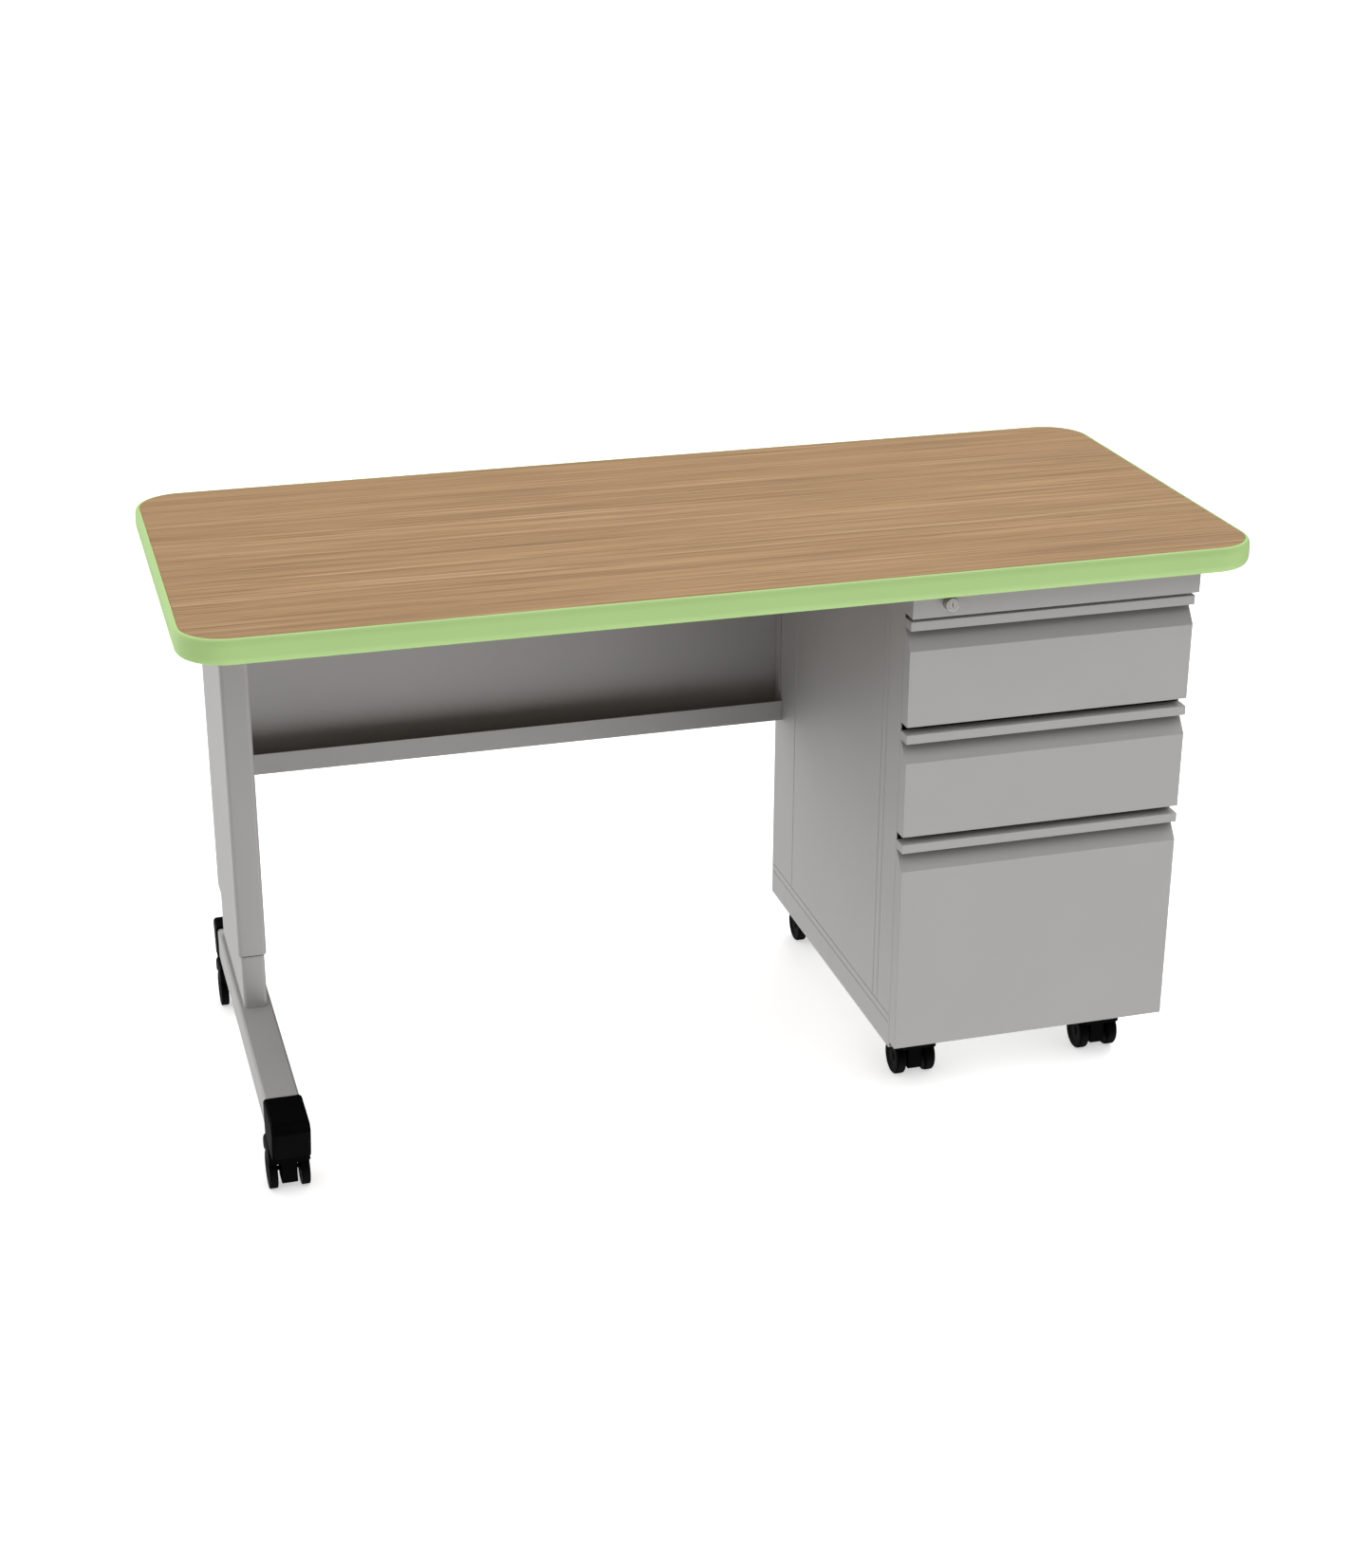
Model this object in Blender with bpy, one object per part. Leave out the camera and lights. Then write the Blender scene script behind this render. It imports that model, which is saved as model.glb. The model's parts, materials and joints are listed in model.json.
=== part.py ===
"""Mobile teacher desk: laminate worktop, telescoping T-leg, three-drawer pedestal, twin-wheel casters.

Metres, +Z up. The origin is on the floor under the middle of the worktop. +X runs along the desk
towards the pedestal, and -Y is the side that the user sits at and the drawers open to.
"""

import math

import bmesh
import bpy
from mathutils import Matrix, Vector

# Driving dimensions -------------------------------------------------------------------------------

GAP = 0.0003  # between pieces that touch
SHEET = 0.0012  # sheet steel

DESK_HEIGHT = 0.762
TOP_LENGTH = 1.3716
TOP_DEPTH = 0.6096
TOP_THICKNESS = 0.0318
TOP_CORNER = 0.0635
LAMINATE = 0.0009

BAND_DEPTH = 0.0066  # of the edge band, from its outer face to the board
BAND_ROUND = 0.0098  # height of its rounding, at the top and at the bottom
TONGUE_DEPTH = 0.011
TONGUE_HEIGHT = 0.0026

PEDESTAL_LEFT = 0.2203
PEDESTAL_RIGHT = 0.6092
PEDESTAL_BOTTOM = 0.0759
PEDESTAL_BACK = 0.2624
CASE_FRONT = -0.2450
CASE_SHEET = 0.0015
SEAM_WIDTH = 0.0016
SEAM_DEPTH = 0.0005
UPRIGHT_SEAMS = (-0.1955, -0.1785, 0.1715)  # places along the depth
FOOT_SEAMS = (0.1114, 0.1229)  # heights
SEAM_STOP = 0.004  # from the panel's edges
SEAM_STEP = 0.001  # between the upper foot seam and the upright ones

DRAWER_FACE = -0.2668
DRAWER_BACK = -0.2457
RECESS_BACK = -0.2470  # deepest line of the finger recess
RAIL_FACE = -0.2748
RAIL_OVERHANG = 0.0014  # of the top rail past the drawer fronts at each end
RAIL_HEIGHT = 0.0339

# Heights in each drawer: bottom of the face, crease under the recess, underside and top of the lip,
# height of the box, and height of the runner above the box's bottom.
DRAWER_KEYS = ("face", "crease", "lip", "top", "box", "runner")
DRAWERS = {
    "top": dict(zip(DRAWER_KEYS, (0.5477, 0.6500, 0.6775, 0.6893, 0.1036, 0.012))),
    "middle": dict(zip(DRAWER_KEYS, (0.3946, 0.4971, 0.5242, 0.5365, 0.1039, 0.012))),
    "file": dict(zip(DRAWER_KEYS, (0.0847, 0.3444, 0.3711, 0.3835, 0.2608, 0.110))),
}
BOX_LIFT = 0.010  # of a drawer box above the bottom of its face
SLIDE_SPACE = 0.0147  # between the case's outer side and the drawer box
BOX_BACK = 0.2150
RUNNER_FRONT = -0.2380
RUNNER_LENGTH = 0.450
RUNNER_HEIGHT = 0.046
RUNNER_PLAY = 0.0010  # above and below the moving channel
RACK_DEPTH = 0.0109
RACK_UPRIGHT = 0.030  # width of the rack's uprights, at its front and back

LOCK_X = 0.2680
LOCK_Z = 0.7140
LOCK_RADIUS = 0.0088
LOCK_PROUD = 0.0090
LOCK_CHAMFER = 0.0006
LOCK_TAIL = 0.0007  # of the barrel behind the case's front plane
KEYWAY = (0.0009, 0.0066, 0.0030)  # width, height and depth
CAM_REACH = 0.0335
CAM_HALF = 0.0045
CAM_HEEL = 0.0055
CAM_SHEET = 0.002
KEEPER_LEFT = 0.022  # from the lock's axis, clear of the corner of the cam's tip as it swings in
KEEPER_RIGHT = 0.011
KEEPER_DROP = 0.0315  # of the keeper's shelf below the lock's axis
KEEPER_DEPTH = 0.011
KEEPER_OVERLAP = 0.010  # of its post with the drawer box
KEEPER_RIM = 0.004  # beside the slot
KEEPER_SLOT = (0.0004, 0.0072)  # front and back of the slot, behind the case's front plane

LEG_X = -0.5928
SLEEVE_WIDTH = 0.0375
SLEEVE_FRONT = 0.0155
SLEEVE_BACK = 0.2600
SLEEVE_BOTTOM = 0.1970
SLEEVE_CORNER = 0.006
COLUMN_WALL = 0.0015
INNER_WIDTH = 0.0316
INNER_PLAY = 0.0010  # between the inner column and the sleeve, front and back
INNER_LENGTH = 0.5400
INNER_CORNER = 0.005
LEG_PLATE = 0.0030
PLATE_SIDE = 0.035  # of the leg's top plate, beyond the sleeve at each side
PLATE_FRONT = 0.010  # beyond the sleeve in front
PLATE_CLEARANCE = 0.004  # to the modesty panel
SCREW_HEIGHTS = {"lower": 0.245, "upper": 0.305}
SCREW_RADIUS = 0.003
SCREW_HOLE = 0.0034
SCREW_HEAD = (0.0065, 0.0025)  # radius and height of the head's edge
SCREW_CROWN = (0.0045, 0.0040)  # radius and height of the head's flat top

FOOT_WIDTH = 0.0451
FOOT_BOTTOM = 0.0712
FOOT_TOP = 0.1175
FOOT_WALL = 0.0020
FOOT_CORNER = 0.0028
FOOT_END = 0.2950  # of the bar, inside the caps
CAP_WIDTH = 0.0495
CAP_TOP = 0.1215
CAP_BOTTOM = 0.0705
CAP_TIP = 0.3130
CAP_NOSE = 0.0130
CAP_RAKE = 0.0100  # of the nose, back towards its bottom
CAP_ROUND = 0.0035
CAP_JOINT_FRONT = 0.2370
CAP_JOINT_BACK = 0.2716

MODESTY_FACE = 0.2624
MODESTY_BOTTOM = 0.3675
TROUGH_FRONT = 0.2310
TROUGH_LIP_TOP = 0.3978
MODESTY_FLANGE = 0.0200

# The two kinds of caster. A wheel's offset is from the caster's middle to the wheel's middle.
LEG_CASTER = {"wheel": 0.0110, "offset": 0.0205, "shoulder": 0.0012, "hood": 0.0268}
PEDESTAL_CASTER = {"wheel": 0.0140, "offset": 0.0210, "shoulder": 0.0030, "hood": 0.0272}
WHEEL_RADIUS = 0.0250
WHEEL_DISH = 0.0010
WHEEL_DISH_RADIUS = 0.0150
WHEEL_RIM_RADIUS = 0.0170
WHEEL_WALL = 0.0020  # of the wheel's outer face over the axle's end
ROUNDING = 0.3  # of a rounding's radius, cut away from each side at its middle
CASTER_TRAIL = 0.0100
HOOD_TOP = 0.0690
HOOD_FRONT = -0.0190
HOOD_BACK = 0.0380
HOOD_SHOULDER = 0.0065
HOOD_SLOPE = 0.0160
HOOD_EDGE = 0.0470
HOOD_ROUND = 0.0040
HOOD_SHARP = 0.0050  # height of the hood's side edges that stay sharp
HOOD_CLEARANCE = 0.0018  # over the wheels
HUB_HALF = 0.0105
HUB_FRONT = -0.0080
HUB_RADIUS = 0.0130
HUB_TOP = 0.0600  # inside the hood
AXLE_RADIUS = 0.0030
AXLE_SHORT = 0.0003  # of the axle's end from the bottom of the wheel's bore
STEM_RADIUS = 0.0040
STEM_FOOT = 0.0510
STEM_PLAY = 0.0004
NUT_RADIUS = 0.0080
NUT_HEIGHT = 0.0060
STEM_TIP = 0.0040  # of the stem above its nut
SWIVEL_PLATE_RADIUS = 0.0200
SWIVEL_NECK_RADIUS = 0.0150
SWIVEL_PLATE_GAP = 0.0016  # between the swivel plate and the hood
SWIVEL_CONE = 0.0030

LEG_CASTERS = {"leg_front": (LEG_X, -0.2567), "leg_rear": (LEG_X, 0.2567)}
PEDESTAL_CASTERS = {
    "pedestal_front_left": (0.2772, -0.1935),
    "pedestal_front_right": (0.5492, -0.1935),
    "pedestal_rear_left": (0.2772, 0.2315),
    "pedestal_rear_right": (0.5492, 0.2315),
}

ROUND_STEPS = 20  # sides of a small turned piece
SCREW_STEPS = 12
PLATE_STEPS = 16
WHEEL_STEPS = 24
CORNER_STEPS = 10  # along each worktop corner
SMOOTH_ANGLE = 35  # degrees below which neighbouring faces shade as one
CUT_BEYOND = 0.01  # that a cutter reaches past the surface it opens

TOP_UNDERSIDE = DESK_HEIGHT - TOP_THICKNESS
CASE_TOP = TOP_UNDERSIDE - GAP
SLEEVE_LEFT = LEG_X - SLEEVE_WIDTH / 2
SLEEVE_RIGHT = LEG_X + SLEEVE_WIDTH / 2
BOX_LEFT = PEDESTAL_LEFT + SLIDE_SPACE
BOX_RIGHT = PEDESTAL_RIGHT - SLIDE_SPACE

COLOURS = {
    "worktop_laminate": ((0.44, 0.29, 0.175), 0.45, 0.0),
    "board_core": ((0.24, 0.17, 0.11), 0.60, 0.0),
    "edge_band": ((0.41, 0.63, 0.24), 0.40, 0.0),
    "grey_steel": ((0.42, 0.42, 0.41), 0.45, 0.0),
    "zinc_steel": ((0.55, 0.55, 0.55), 0.35, 1.0),
    "lock_metal": ((0.50, 0.49, 0.46), 0.30, 1.0),
    "black_plastic": ((0.012, 0.012, 0.012), 0.45, 0.0),
    "wheel_rubber": ((0.010, 0.010, 0.010), 0.65, 0.0),
}


# Building blocks ----------------------------------------------------------------------------------


def clear_scene():
    for item in list(bpy.data.objects):
        bpy.data.objects.remove(item, do_unlink=True)


def material(name):
    colour, roughness, metallic = COLOURS[name]
    made = bpy.data.materials.get(name) or bpy.data.materials.new(name)
    made.use_nodes = True
    shader = made.node_tree.nodes["Principled BSDF"]
    shader.inputs["Base Color"].default_value = (*colour, 1.0)
    shader.inputs["Roughness"].default_value = roughness
    shader.inputs["Metallic"].default_value = metallic
    return made


def place(name, mesh, finish=None, location=(0, 0, 0)):
    """A new object of that mesh. Without a finish it is a hidden cutter."""
    made = bpy.data.objects.new(name, mesh)
    made.location = location
    bpy.context.scene.collection.objects.link(made)
    if finish:
        if not mesh.materials:
            mesh.materials.append(material(finish))
    else:
        made.hide_render = True
        made.display_type = "WIRE"
    return made


def mesh_of(name, shape, smooth_angle=None):
    bmesh.ops.recalc_face_normals(shape, faces=shape.faces)
    mesh = bpy.data.meshes.new(name)
    shape.to_mesh(mesh)
    shape.free()
    if smooth_angle:
        mesh.shade_smooth()
        mesh.set_sharp_from_angle(angle=math.radians(smooth_angle))
    return mesh


def add_box(shape, low, high):
    size = [h - l for l, h in zip(low, high)]
    middle = [(h + l) / 2 for l, h in zip(low, high)]
    bmesh.ops.create_cube(
        shape, size=1.0, matrix=Matrix.Translation(middle) @ Matrix.Diagonal((*size, 1.0))
    )


def boxes(name, corners, finish=None):
    """One object of separate boxes, each given by its lowest and highest corner."""
    shape = bmesh.new()
    for low, high in corners:
        add_box(shape, low, high)
    return place(name, mesh_of(name, shape), finish)


def box(name, low, high, finish=None):
    return boxes(name, [(low, high)], finish)


def on_plane(axis, a, b, depth):
    """The point with coordinates a and b on the two axes across axis, in X, Y, Z order."""
    return {"x": (depth, a, b), "y": (a, depth, b), "z": (a, b, depth)}[axis]


def add_rings(shape, rings, closed, capped):
    """Skins a list of rings of points, joining the last ring to the first if closed."""
    made = [[shape.verts.new(p) for p in ring] for ring in rings]
    pairs = list(zip(made, made[1:])) + ([(made[-1], made[0])] if closed else [])
    for lower, upper in pairs:
        for i in range(len(lower)):
            j = (i + 1) % len(lower)
            shape.faces.new((lower[i], lower[j], upper[j], upper[i]))
    if capped:
        shape.faces.new(made[0][::-1])
        shape.faces.new(made[-1])


def prism(name, outline, axis, low, high, finish=None, smooth_angle=None):
    """A flat outline pulled along an axis."""
    shape = bmesh.new()
    rings = [[on_plane(axis, a, b, depth) for a, b in outline] for depth in (low, high)]
    add_rings(shape, rings, closed=False, capped=True)
    return place(name, mesh_of(name, shape, smooth_angle), finish)


def hollow_prism(name, outer, inner, axis, low, high, finish):
    """A tube: two outlines with the same number of points, pulled along an axis."""
    shape = bmesh.new()
    order = [(outer, low), (outer, high), (inner, high), (inner, low)]
    rings = [[on_plane(axis, a, b, depth) for a, b in line] for line, depth in order]
    add_rings(shape, rings, closed=True, capped=False)
    return place(name, mesh_of(name, shape, SMOOTH_ANGLE), finish)


def turned_mesh(name, profile, axis="z", steps=ROUND_STEPS):
    """A solid turned about an axis through the mesh's origin, from (radius, height) points."""
    shape = bmesh.new()
    rows = []
    for radius, height in profile:
        turns = [2 * math.pi * i / steps for i in range(steps)] if radius else [0.0]
        points = [(radius * math.cos(t), radius * math.sin(t)) for t in turns]
        rows.append([shape.verts.new(on_plane(axis, a, b, height)) for a, b in points])
    for lower, upper in zip(rows, rows[1:]):
        for i in range(steps):
            j = (i + 1) % steps
            below = [lower[i % len(lower)], lower[j % len(lower)]]
            above = [upper[j % len(upper)], upper[i % len(upper)]]
            shape.faces.new(list(dict.fromkeys(below + above)))
    return mesh_of(name, shape, SMOOTH_ANGLE)


def rod_mesh(name, radius, low, high, axis="z", steps=SCREW_STEPS):
    return turned_mesh(name, [(0, low), (radius, low), (radius, high), (0, high)], axis, steps)


def arc(centre, radius, start, end, steps):
    """Points of an arc, angles in degrees, both ends included."""
    turns = [math.radians(start + (end - start) * i / steps) for i in range(steps + 1)]
    return [(centre[0] + radius * math.cos(t), centre[1] + radius * math.sin(t)) for t in turns]


def rounded_rectangle(half_a, half_b, radius, steps, centre=(0.0, 0.0)):
    corners = [(1, 1, 0), (-1, 1, 90), (-1, -1, 180), (1, -1, 270)]
    points = []
    for side_a, side_b, start in corners:
        middle = (centre[0] + side_a * (half_a - radius), centre[1] + side_b * (half_b - radius))
        points += arc(middle, radius, start, start + 90, steps)
    return points


def combine(target, other, operation):
    step = target.modifiers.new(f"{operation.lower()}_{other.name}", "BOOLEAN")
    step.operation = operation
    step.object = other


def cut(target, *cutters):
    for cutter in cutters:
        combine(target, cutter, "DIFFERENCE")


def fuse(target, *others):
    for other in others:
        combine(target, other, "UNION")


def finished_mesh(template):
    """The mesh of an object with its modifiers applied. The object itself is removed."""
    view = bpy.context.evaluated_depsgraph_get()
    mesh = bpy.data.meshes.new_from_object(template.evaluated_get(view))
    bpy.data.objects.remove(template, do_unlink=True)
    return mesh


def joint_empty(name, location):
    made = bpy.data.objects.new(name, None)
    made.location = location
    bpy.context.scene.collection.objects.link(made)
    return made


def hang_on(empty, *pieces):
    """Parents pieces that are modelled in place to the empty on their joint's axis."""
    for piece in pieces:
        piece.parent = empty
        piece.matrix_parent_inverse = Matrix.Translation(-Vector(empty.location))


# Worktop ------------------------------------------------------------------------------------------


def worktop_ring(inset, height):
    outline = rounded_rectangle(
        TOP_LENGTH / 2 - inset, TOP_DEPTH / 2 - inset, TOP_CORNER - inset, CORNER_STEPS
    )
    return [(x, y, height) for x, y in outline]


def worktop_solid(name, profile, finish, closed=False):
    """A solid whose edge follows (inset, height) points all round the worktop."""
    shape = bmesh.new()
    rings = [worktop_ring(inset, height) for inset, height in profile]
    add_rings(shape, rings, closed=closed, capped=not closed)
    return place(name, mesh_of(name, shape, SMOOTH_ANGLE), finish)


def make_worktop():
    middle = DESK_HEIGHT - TOP_THICKNESS / 2
    board_inset = BAND_DEPTH + GAP
    board_top = DESK_HEIGHT - LAMINATE - GAP
    groove_inset = BAND_DEPTH + TONGUE_DEPTH + GAP
    groove_half = TONGUE_HEIGHT / 2 + GAP
    core = [
        (board_inset, TOP_UNDERSIDE),
        (board_inset, middle - groove_half),
        (groove_inset, middle - groove_half),
        (groove_inset, middle + groove_half),
        (board_inset, middle + groove_half),
        (board_inset, board_top),
    ]
    worktop_solid("worktop_board", core, "board_core")
    laminate = [(board_inset, DESK_HEIGHT - LAMINATE), (board_inset, DESK_HEIGHT)]
    worktop_solid("worktop_laminate", laminate, "worktop_laminate")

    tongue_inset = BAND_DEPTH + TONGUE_DEPTH
    tongue_half = TONGUE_HEIGHT / 2
    below = arc((1, 1), 1, 270, 180, 4)
    above = arc((1, -1), 1, 180, 90, 4)
    lower = [(BAND_DEPTH * a, TOP_UNDERSIDE + BAND_ROUND * b) for a, b in below]
    upper = [(BAND_DEPTH * a, DESK_HEIGHT + BAND_ROUND * b) for a, b in above]
    tongue = [
        (BAND_DEPTH, middle + tongue_half),
        (tongue_inset, middle + tongue_half),
        (tongue_inset, middle - tongue_half),
        (BAND_DEPTH, middle - tongue_half),
    ]
    worktop_solid("edge_band", lower + upper + tongue, "edge_band", closed=True)


# Modesty panel ------------------------------------------------------------------------------------


def make_modesty_panel():
    """One folded sheet, from its top flange down to the trough's lip, between two end brackets."""
    left = SLEEVE_RIGHT + GAP
    right = PEDESTAL_LEFT - GAP
    flange_front = MODESTY_FACE - MODESTY_FLANGE
    back = MODESTY_FACE + SHEET
    outline = [
        (back, MODESTY_BOTTOM),
        (back, CASE_TOP),
        (flange_front, CASE_TOP),
        (flange_front, CASE_TOP - SHEET),
        (MODESTY_FACE, CASE_TOP - SHEET),
        (MODESTY_FACE, MODESTY_BOTTOM + SHEET),
        (TROUGH_FRONT + SHEET, MODESTY_BOTTOM + SHEET),
        (TROUGH_FRONT + SHEET, TROUGH_LIP_TOP),
        (TROUGH_FRONT, TROUGH_LIP_TOP),
        (TROUGH_FRONT, MODESTY_BOTTOM),
    ]
    prism("modesty_panel", outline, "x", left, right, "grey_steel")
    low = (flange_front, MODESTY_BOTTOM + SHEET + GAP)
    high = (MODESTY_FACE - GAP, CASE_TOP - SHEET - GAP)
    for side, x in (("left", left), ("right", right - SHEET)):
        box(f"modesty_bracket_{side}", (x, *low), (x + SHEET, *high), "grey_steel")


# Leg ----------------------------------------------------------------------------------------------


def column_outline(half_width, front, back, corner):
    centre = (LEG_X, (front + back) / 2)
    return rounded_rectangle(half_width, (back - front) / 2, corner, 3, centre)


def make_column(name, width, front, back, corner, low, high):
    outer = column_outline(width / 2, front, back, corner)
    inner = column_outline(
        width / 2 - COLUMN_WALL, front + COLUMN_WALL, back - COLUMN_WALL, corner - COLUMN_WALL
    )
    return hollow_prism(name, outer, inner, "z", low, high, "grey_steel")


def make_height_screw(name, height):
    """A pan-head screw through the sleeve's inboard wall, which clamps the inner column."""
    play = (SLEEVE_WIDTH - 2 * COLUMN_WALL - INNER_WIDTH) / 2
    tip = -COLUMN_WALL - play + GAP
    profile = [
        (0, tip),
        (SCREW_RADIUS, tip),
        (SCREW_RADIUS, GAP),
        (SCREW_HEAD[0], GAP),
        SCREW_HEAD,
        SCREW_CROWN,
        (0, SCREW_CROWN[1]),
    ]
    middle = (SLEEVE_FRONT + SLEEVE_BACK) / 2
    mesh = turned_mesh(name, profile, "x", SCREW_STEPS)
    place(name, mesh, "zinc_steel", (SLEEVE_RIGHT, middle, height))


def make_sleeve():
    top = CASE_TOP - LEG_PLATE - GAP
    sleeve = make_column(
        "leg_sleeve", SLEEVE_WIDTH, SLEEVE_FRONT, SLEEVE_BACK, SLEEVE_CORNER, SLEEVE_BOTTOM, top
    )
    middle = (SLEEVE_FRONT + SLEEVE_BACK) / 2
    for name, height in SCREW_HEIGHTS.items():
        make_height_screw(f"height_lock_screw_{name}", height)
        hole_name = f"screw_hole_{name}"
        hole = rod_mesh(hole_name, SCREW_HOLE, -CUT_BEYOND, CUT_BEYOND, "x")
        cut(sleeve, place(hole_name, hole, location=(SLEEVE_RIGHT, middle, height)))
    plate_back = MODESTY_FACE - MODESTY_FLANGE - PLATE_CLEARANCE
    plate_low = (SLEEVE_LEFT - PLATE_SIDE, SLEEVE_FRONT - PLATE_FRONT, CASE_TOP - LEG_PLATE)
    box("leg_top_plate", plate_low, (SLEEVE_RIGHT + PLATE_SIDE, plate_back, CASE_TOP), "grey_steel")


def make_foot_cap(name, side, joint):
    """A moulded cap with a rounded nose, open below, that slides over the end of the foot bar."""
    tip = side * CAP_TIP
    nose = arc((0, CAP_TOP - CAP_NOSE), CAP_NOSE, 90, 0, 5)
    outline = [(side * joint, CAP_TOP)]
    outline += [(tip - side * (CAP_NOSE - a), b) for a, b in nose]
    outline += [(tip - side * CAP_RAKE, CAP_BOTTOM), (side * joint, CAP_BOTTOM)]
    half = CAP_WIDTH / 2
    cap = prism(name, outline, "x", LEG_X - half, LEG_X + half, "black_plastic")
    round_over(cap, CAP_ROUND, lambda p: p.z > CAP_BOTTOM + GAP and abs(p.y) > joint + GAP)
    inside_x = FOOT_WIDTH / 2 + GAP
    inside_y = sorted((side * (joint - CUT_BEYOND), side * (FOOT_END + GAP)))
    opening = box(
        f"{name}_cutter",
        (LEG_X - inside_x, inside_y[0], CAP_BOTTOM - CUT_BEYOND),
        (LEG_X + inside_x, inside_y[1], FOOT_TOP + GAP),
    )
    cut(cap, opening)
    return cap


def round_over(piece, radius, keep):
    """Rounds the side edges of a prism along X whose middles keep() accepts."""
    shape = bmesh.new()
    shape.from_mesh(piece.data)
    edges = [
        e
        for e in shape.edges
        if abs(e.verts[0].co.x - e.verts[1].co.x) < 1e-6 and keep((e.verts[0].co + e.verts[1].co) / 2)
    ]
    bmesh.ops.bevel(shape, geom=edges, offset=radius, segments=3, profile=0.5, affect="EDGES")
    bmesh.ops.recalc_face_normals(shape, faces=shape.faces)
    shape.to_mesh(piece.data)
    shape.free()
    piece.data.shade_smooth()
    piece.data.set_sharp_from_angle(angle=math.radians(SMOOTH_ANGLE))


def make_foot():
    half = FOOT_WIDTH / 2
    rise = (FOOT_TOP - FOOT_BOTTOM) / 2
    centre = (LEG_X, FOOT_BOTTOM + rise)
    inner_corner = FOOT_CORNER - FOOT_WALL
    outer = rounded_rectangle(half, rise, FOOT_CORNER, 1, centre)
    inner = rounded_rectangle(half - FOOT_WALL, rise - FOOT_WALL, inner_corner, 1, centre)
    bar = hollow_prism("foot_bar", outer, inner, "y", -FOOT_END, FOOT_END, "grey_steel")
    for name, spot in LEG_CASTERS.items():
        hole_name = f"{name}_stem_hole"
        low = FOOT_BOTTOM - CUT_BEYOND
        hole = rod_mesh(hole_name, STEM_RADIUS + STEM_PLAY, low, FOOT_BOTTOM + CUT_BEYOND)
        cut(bar, place(hole_name, hole, location=(*spot, 0)))
    return bar


def make_leg():
    make_sleeve()
    low = FOOT_TOP + GAP
    front = SLEEVE_FRONT + COLUMN_WALL + INNER_PLAY
    back = SLEEVE_BACK - COLUMN_WALL - INNER_PLAY
    high = low + INNER_LENGTH
    pieces = [
        make_column("leg_inner_column", INNER_WIDTH, front, back, INNER_CORNER, low, high),
        make_foot(),
        make_foot_cap("foot_cap_front", -1, CAP_JOINT_FRONT),
        make_foot_cap("foot_cap_rear", 1, CAP_JOINT_BACK),
    ]
    empty = joint_empty("leg_height_axis", (LEG_X, (front + back) / 2, SLEEVE_BOTTOM))
    hang_on(empty, *pieces)
    return empty


# Casters ------------------------------------------------------------------------------------------


def caster_body_mesh(kind):
    """The hood over both wheels, the hub between them and the axle, as one moulding."""
    middle = (CASTER_TRAIL, WHEEL_RADIUS)
    arch = WHEEL_RADIUS + HOOD_CLEARANCE
    reach = math.degrees(math.asin((HOOD_EDGE - WHEEL_RADIUS) / arch))
    hood = [(HOOD_FRONT, HOOD_EDGE)]
    hood += arc((HOOD_FRONT + HOOD_SHOULDER, HOOD_TOP - HOOD_SHOULDER), HOOD_SHOULDER, 180, 90, 3)
    hood += arc((HOOD_BACK - HOOD_SLOPE, HOOD_TOP - HOOD_SLOPE), HOOD_SLOPE, 90, 0, 4)
    hood += [(HOOD_BACK, HOOD_EDGE)]
    hood += arc(middle, arch, reach, 180 - reach, 5)
    template = prism("caster_template", hood, "x", -kind["hood"], kind["hood"])
    round_over(template, HOOD_ROUND, lambda p: p.z > HOOD_EDGE + HOOD_SHARP)

    hub_outline = [(HUB_FRONT, HUB_TOP), (HUB_FRONT, WHEEL_RADIUS - HUB_RADIUS)]
    hub_outline += arc(middle, HUB_RADIUS, 270, 360, 5)
    hub_outline += [(CASTER_TRAIL + HUB_RADIUS, HUB_TOP)]
    hub = prism("caster_hub_part", hub_outline, "x", -HUB_HALF, HUB_HALF)
    axle_end = kind["offset"] + kind["wheel"] / 2 - WHEEL_WALL - AXLE_SHORT
    axle_mesh = rod_mesh("caster_axle", AXLE_RADIUS, -axle_end, axle_end, "x")
    axle = place("caster_axle_part", axle_mesh, location=(0, *middle))
    bore_low = STEM_FOOT - STEM_PLAY
    bore_mesh = rod_mesh("caster_bore", STEM_RADIUS + STEM_PLAY, bore_low, HOOD_TOP + CUT_BEYOND)
    fuse(template, hub, axle)
    cut(template, place("caster_bore_cutter", bore_mesh))
    mesh = finished_mesh(template)
    mesh.materials.clear()
    mesh.set_sharp_from_angle(angle=math.radians(SMOOTH_ANGLE))
    return mesh


def wheel_mesh(kind):
    """A wheel about X whose dished outer face is at +X, with a blind bore for the axle."""
    half = kind["wheel"] / 2
    shoulder = kind["shoulder"]
    bore = AXLE_RADIUS + STEM_PLAY
    profile = [
        (0, half - WHEEL_DISH),
        (WHEEL_DISH_RADIUS, half - WHEEL_DISH),
        (WHEEL_RIM_RADIUS, half),
        (WHEEL_RADIUS - shoulder, half),
        (WHEEL_RADIUS - shoulder * ROUNDING, half - shoulder * ROUNDING),
        (WHEEL_RADIUS, half - shoulder),
        (WHEEL_RADIUS, shoulder - half),
        (WHEEL_RADIUS - shoulder, -half),
        (bore, -half),
        (bore, half - WHEEL_WALL),
        (0, half - WHEEL_WALL),
    ]
    return turned_mesh("caster_wheel", profile, "x", WHEEL_STEPS)


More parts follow.
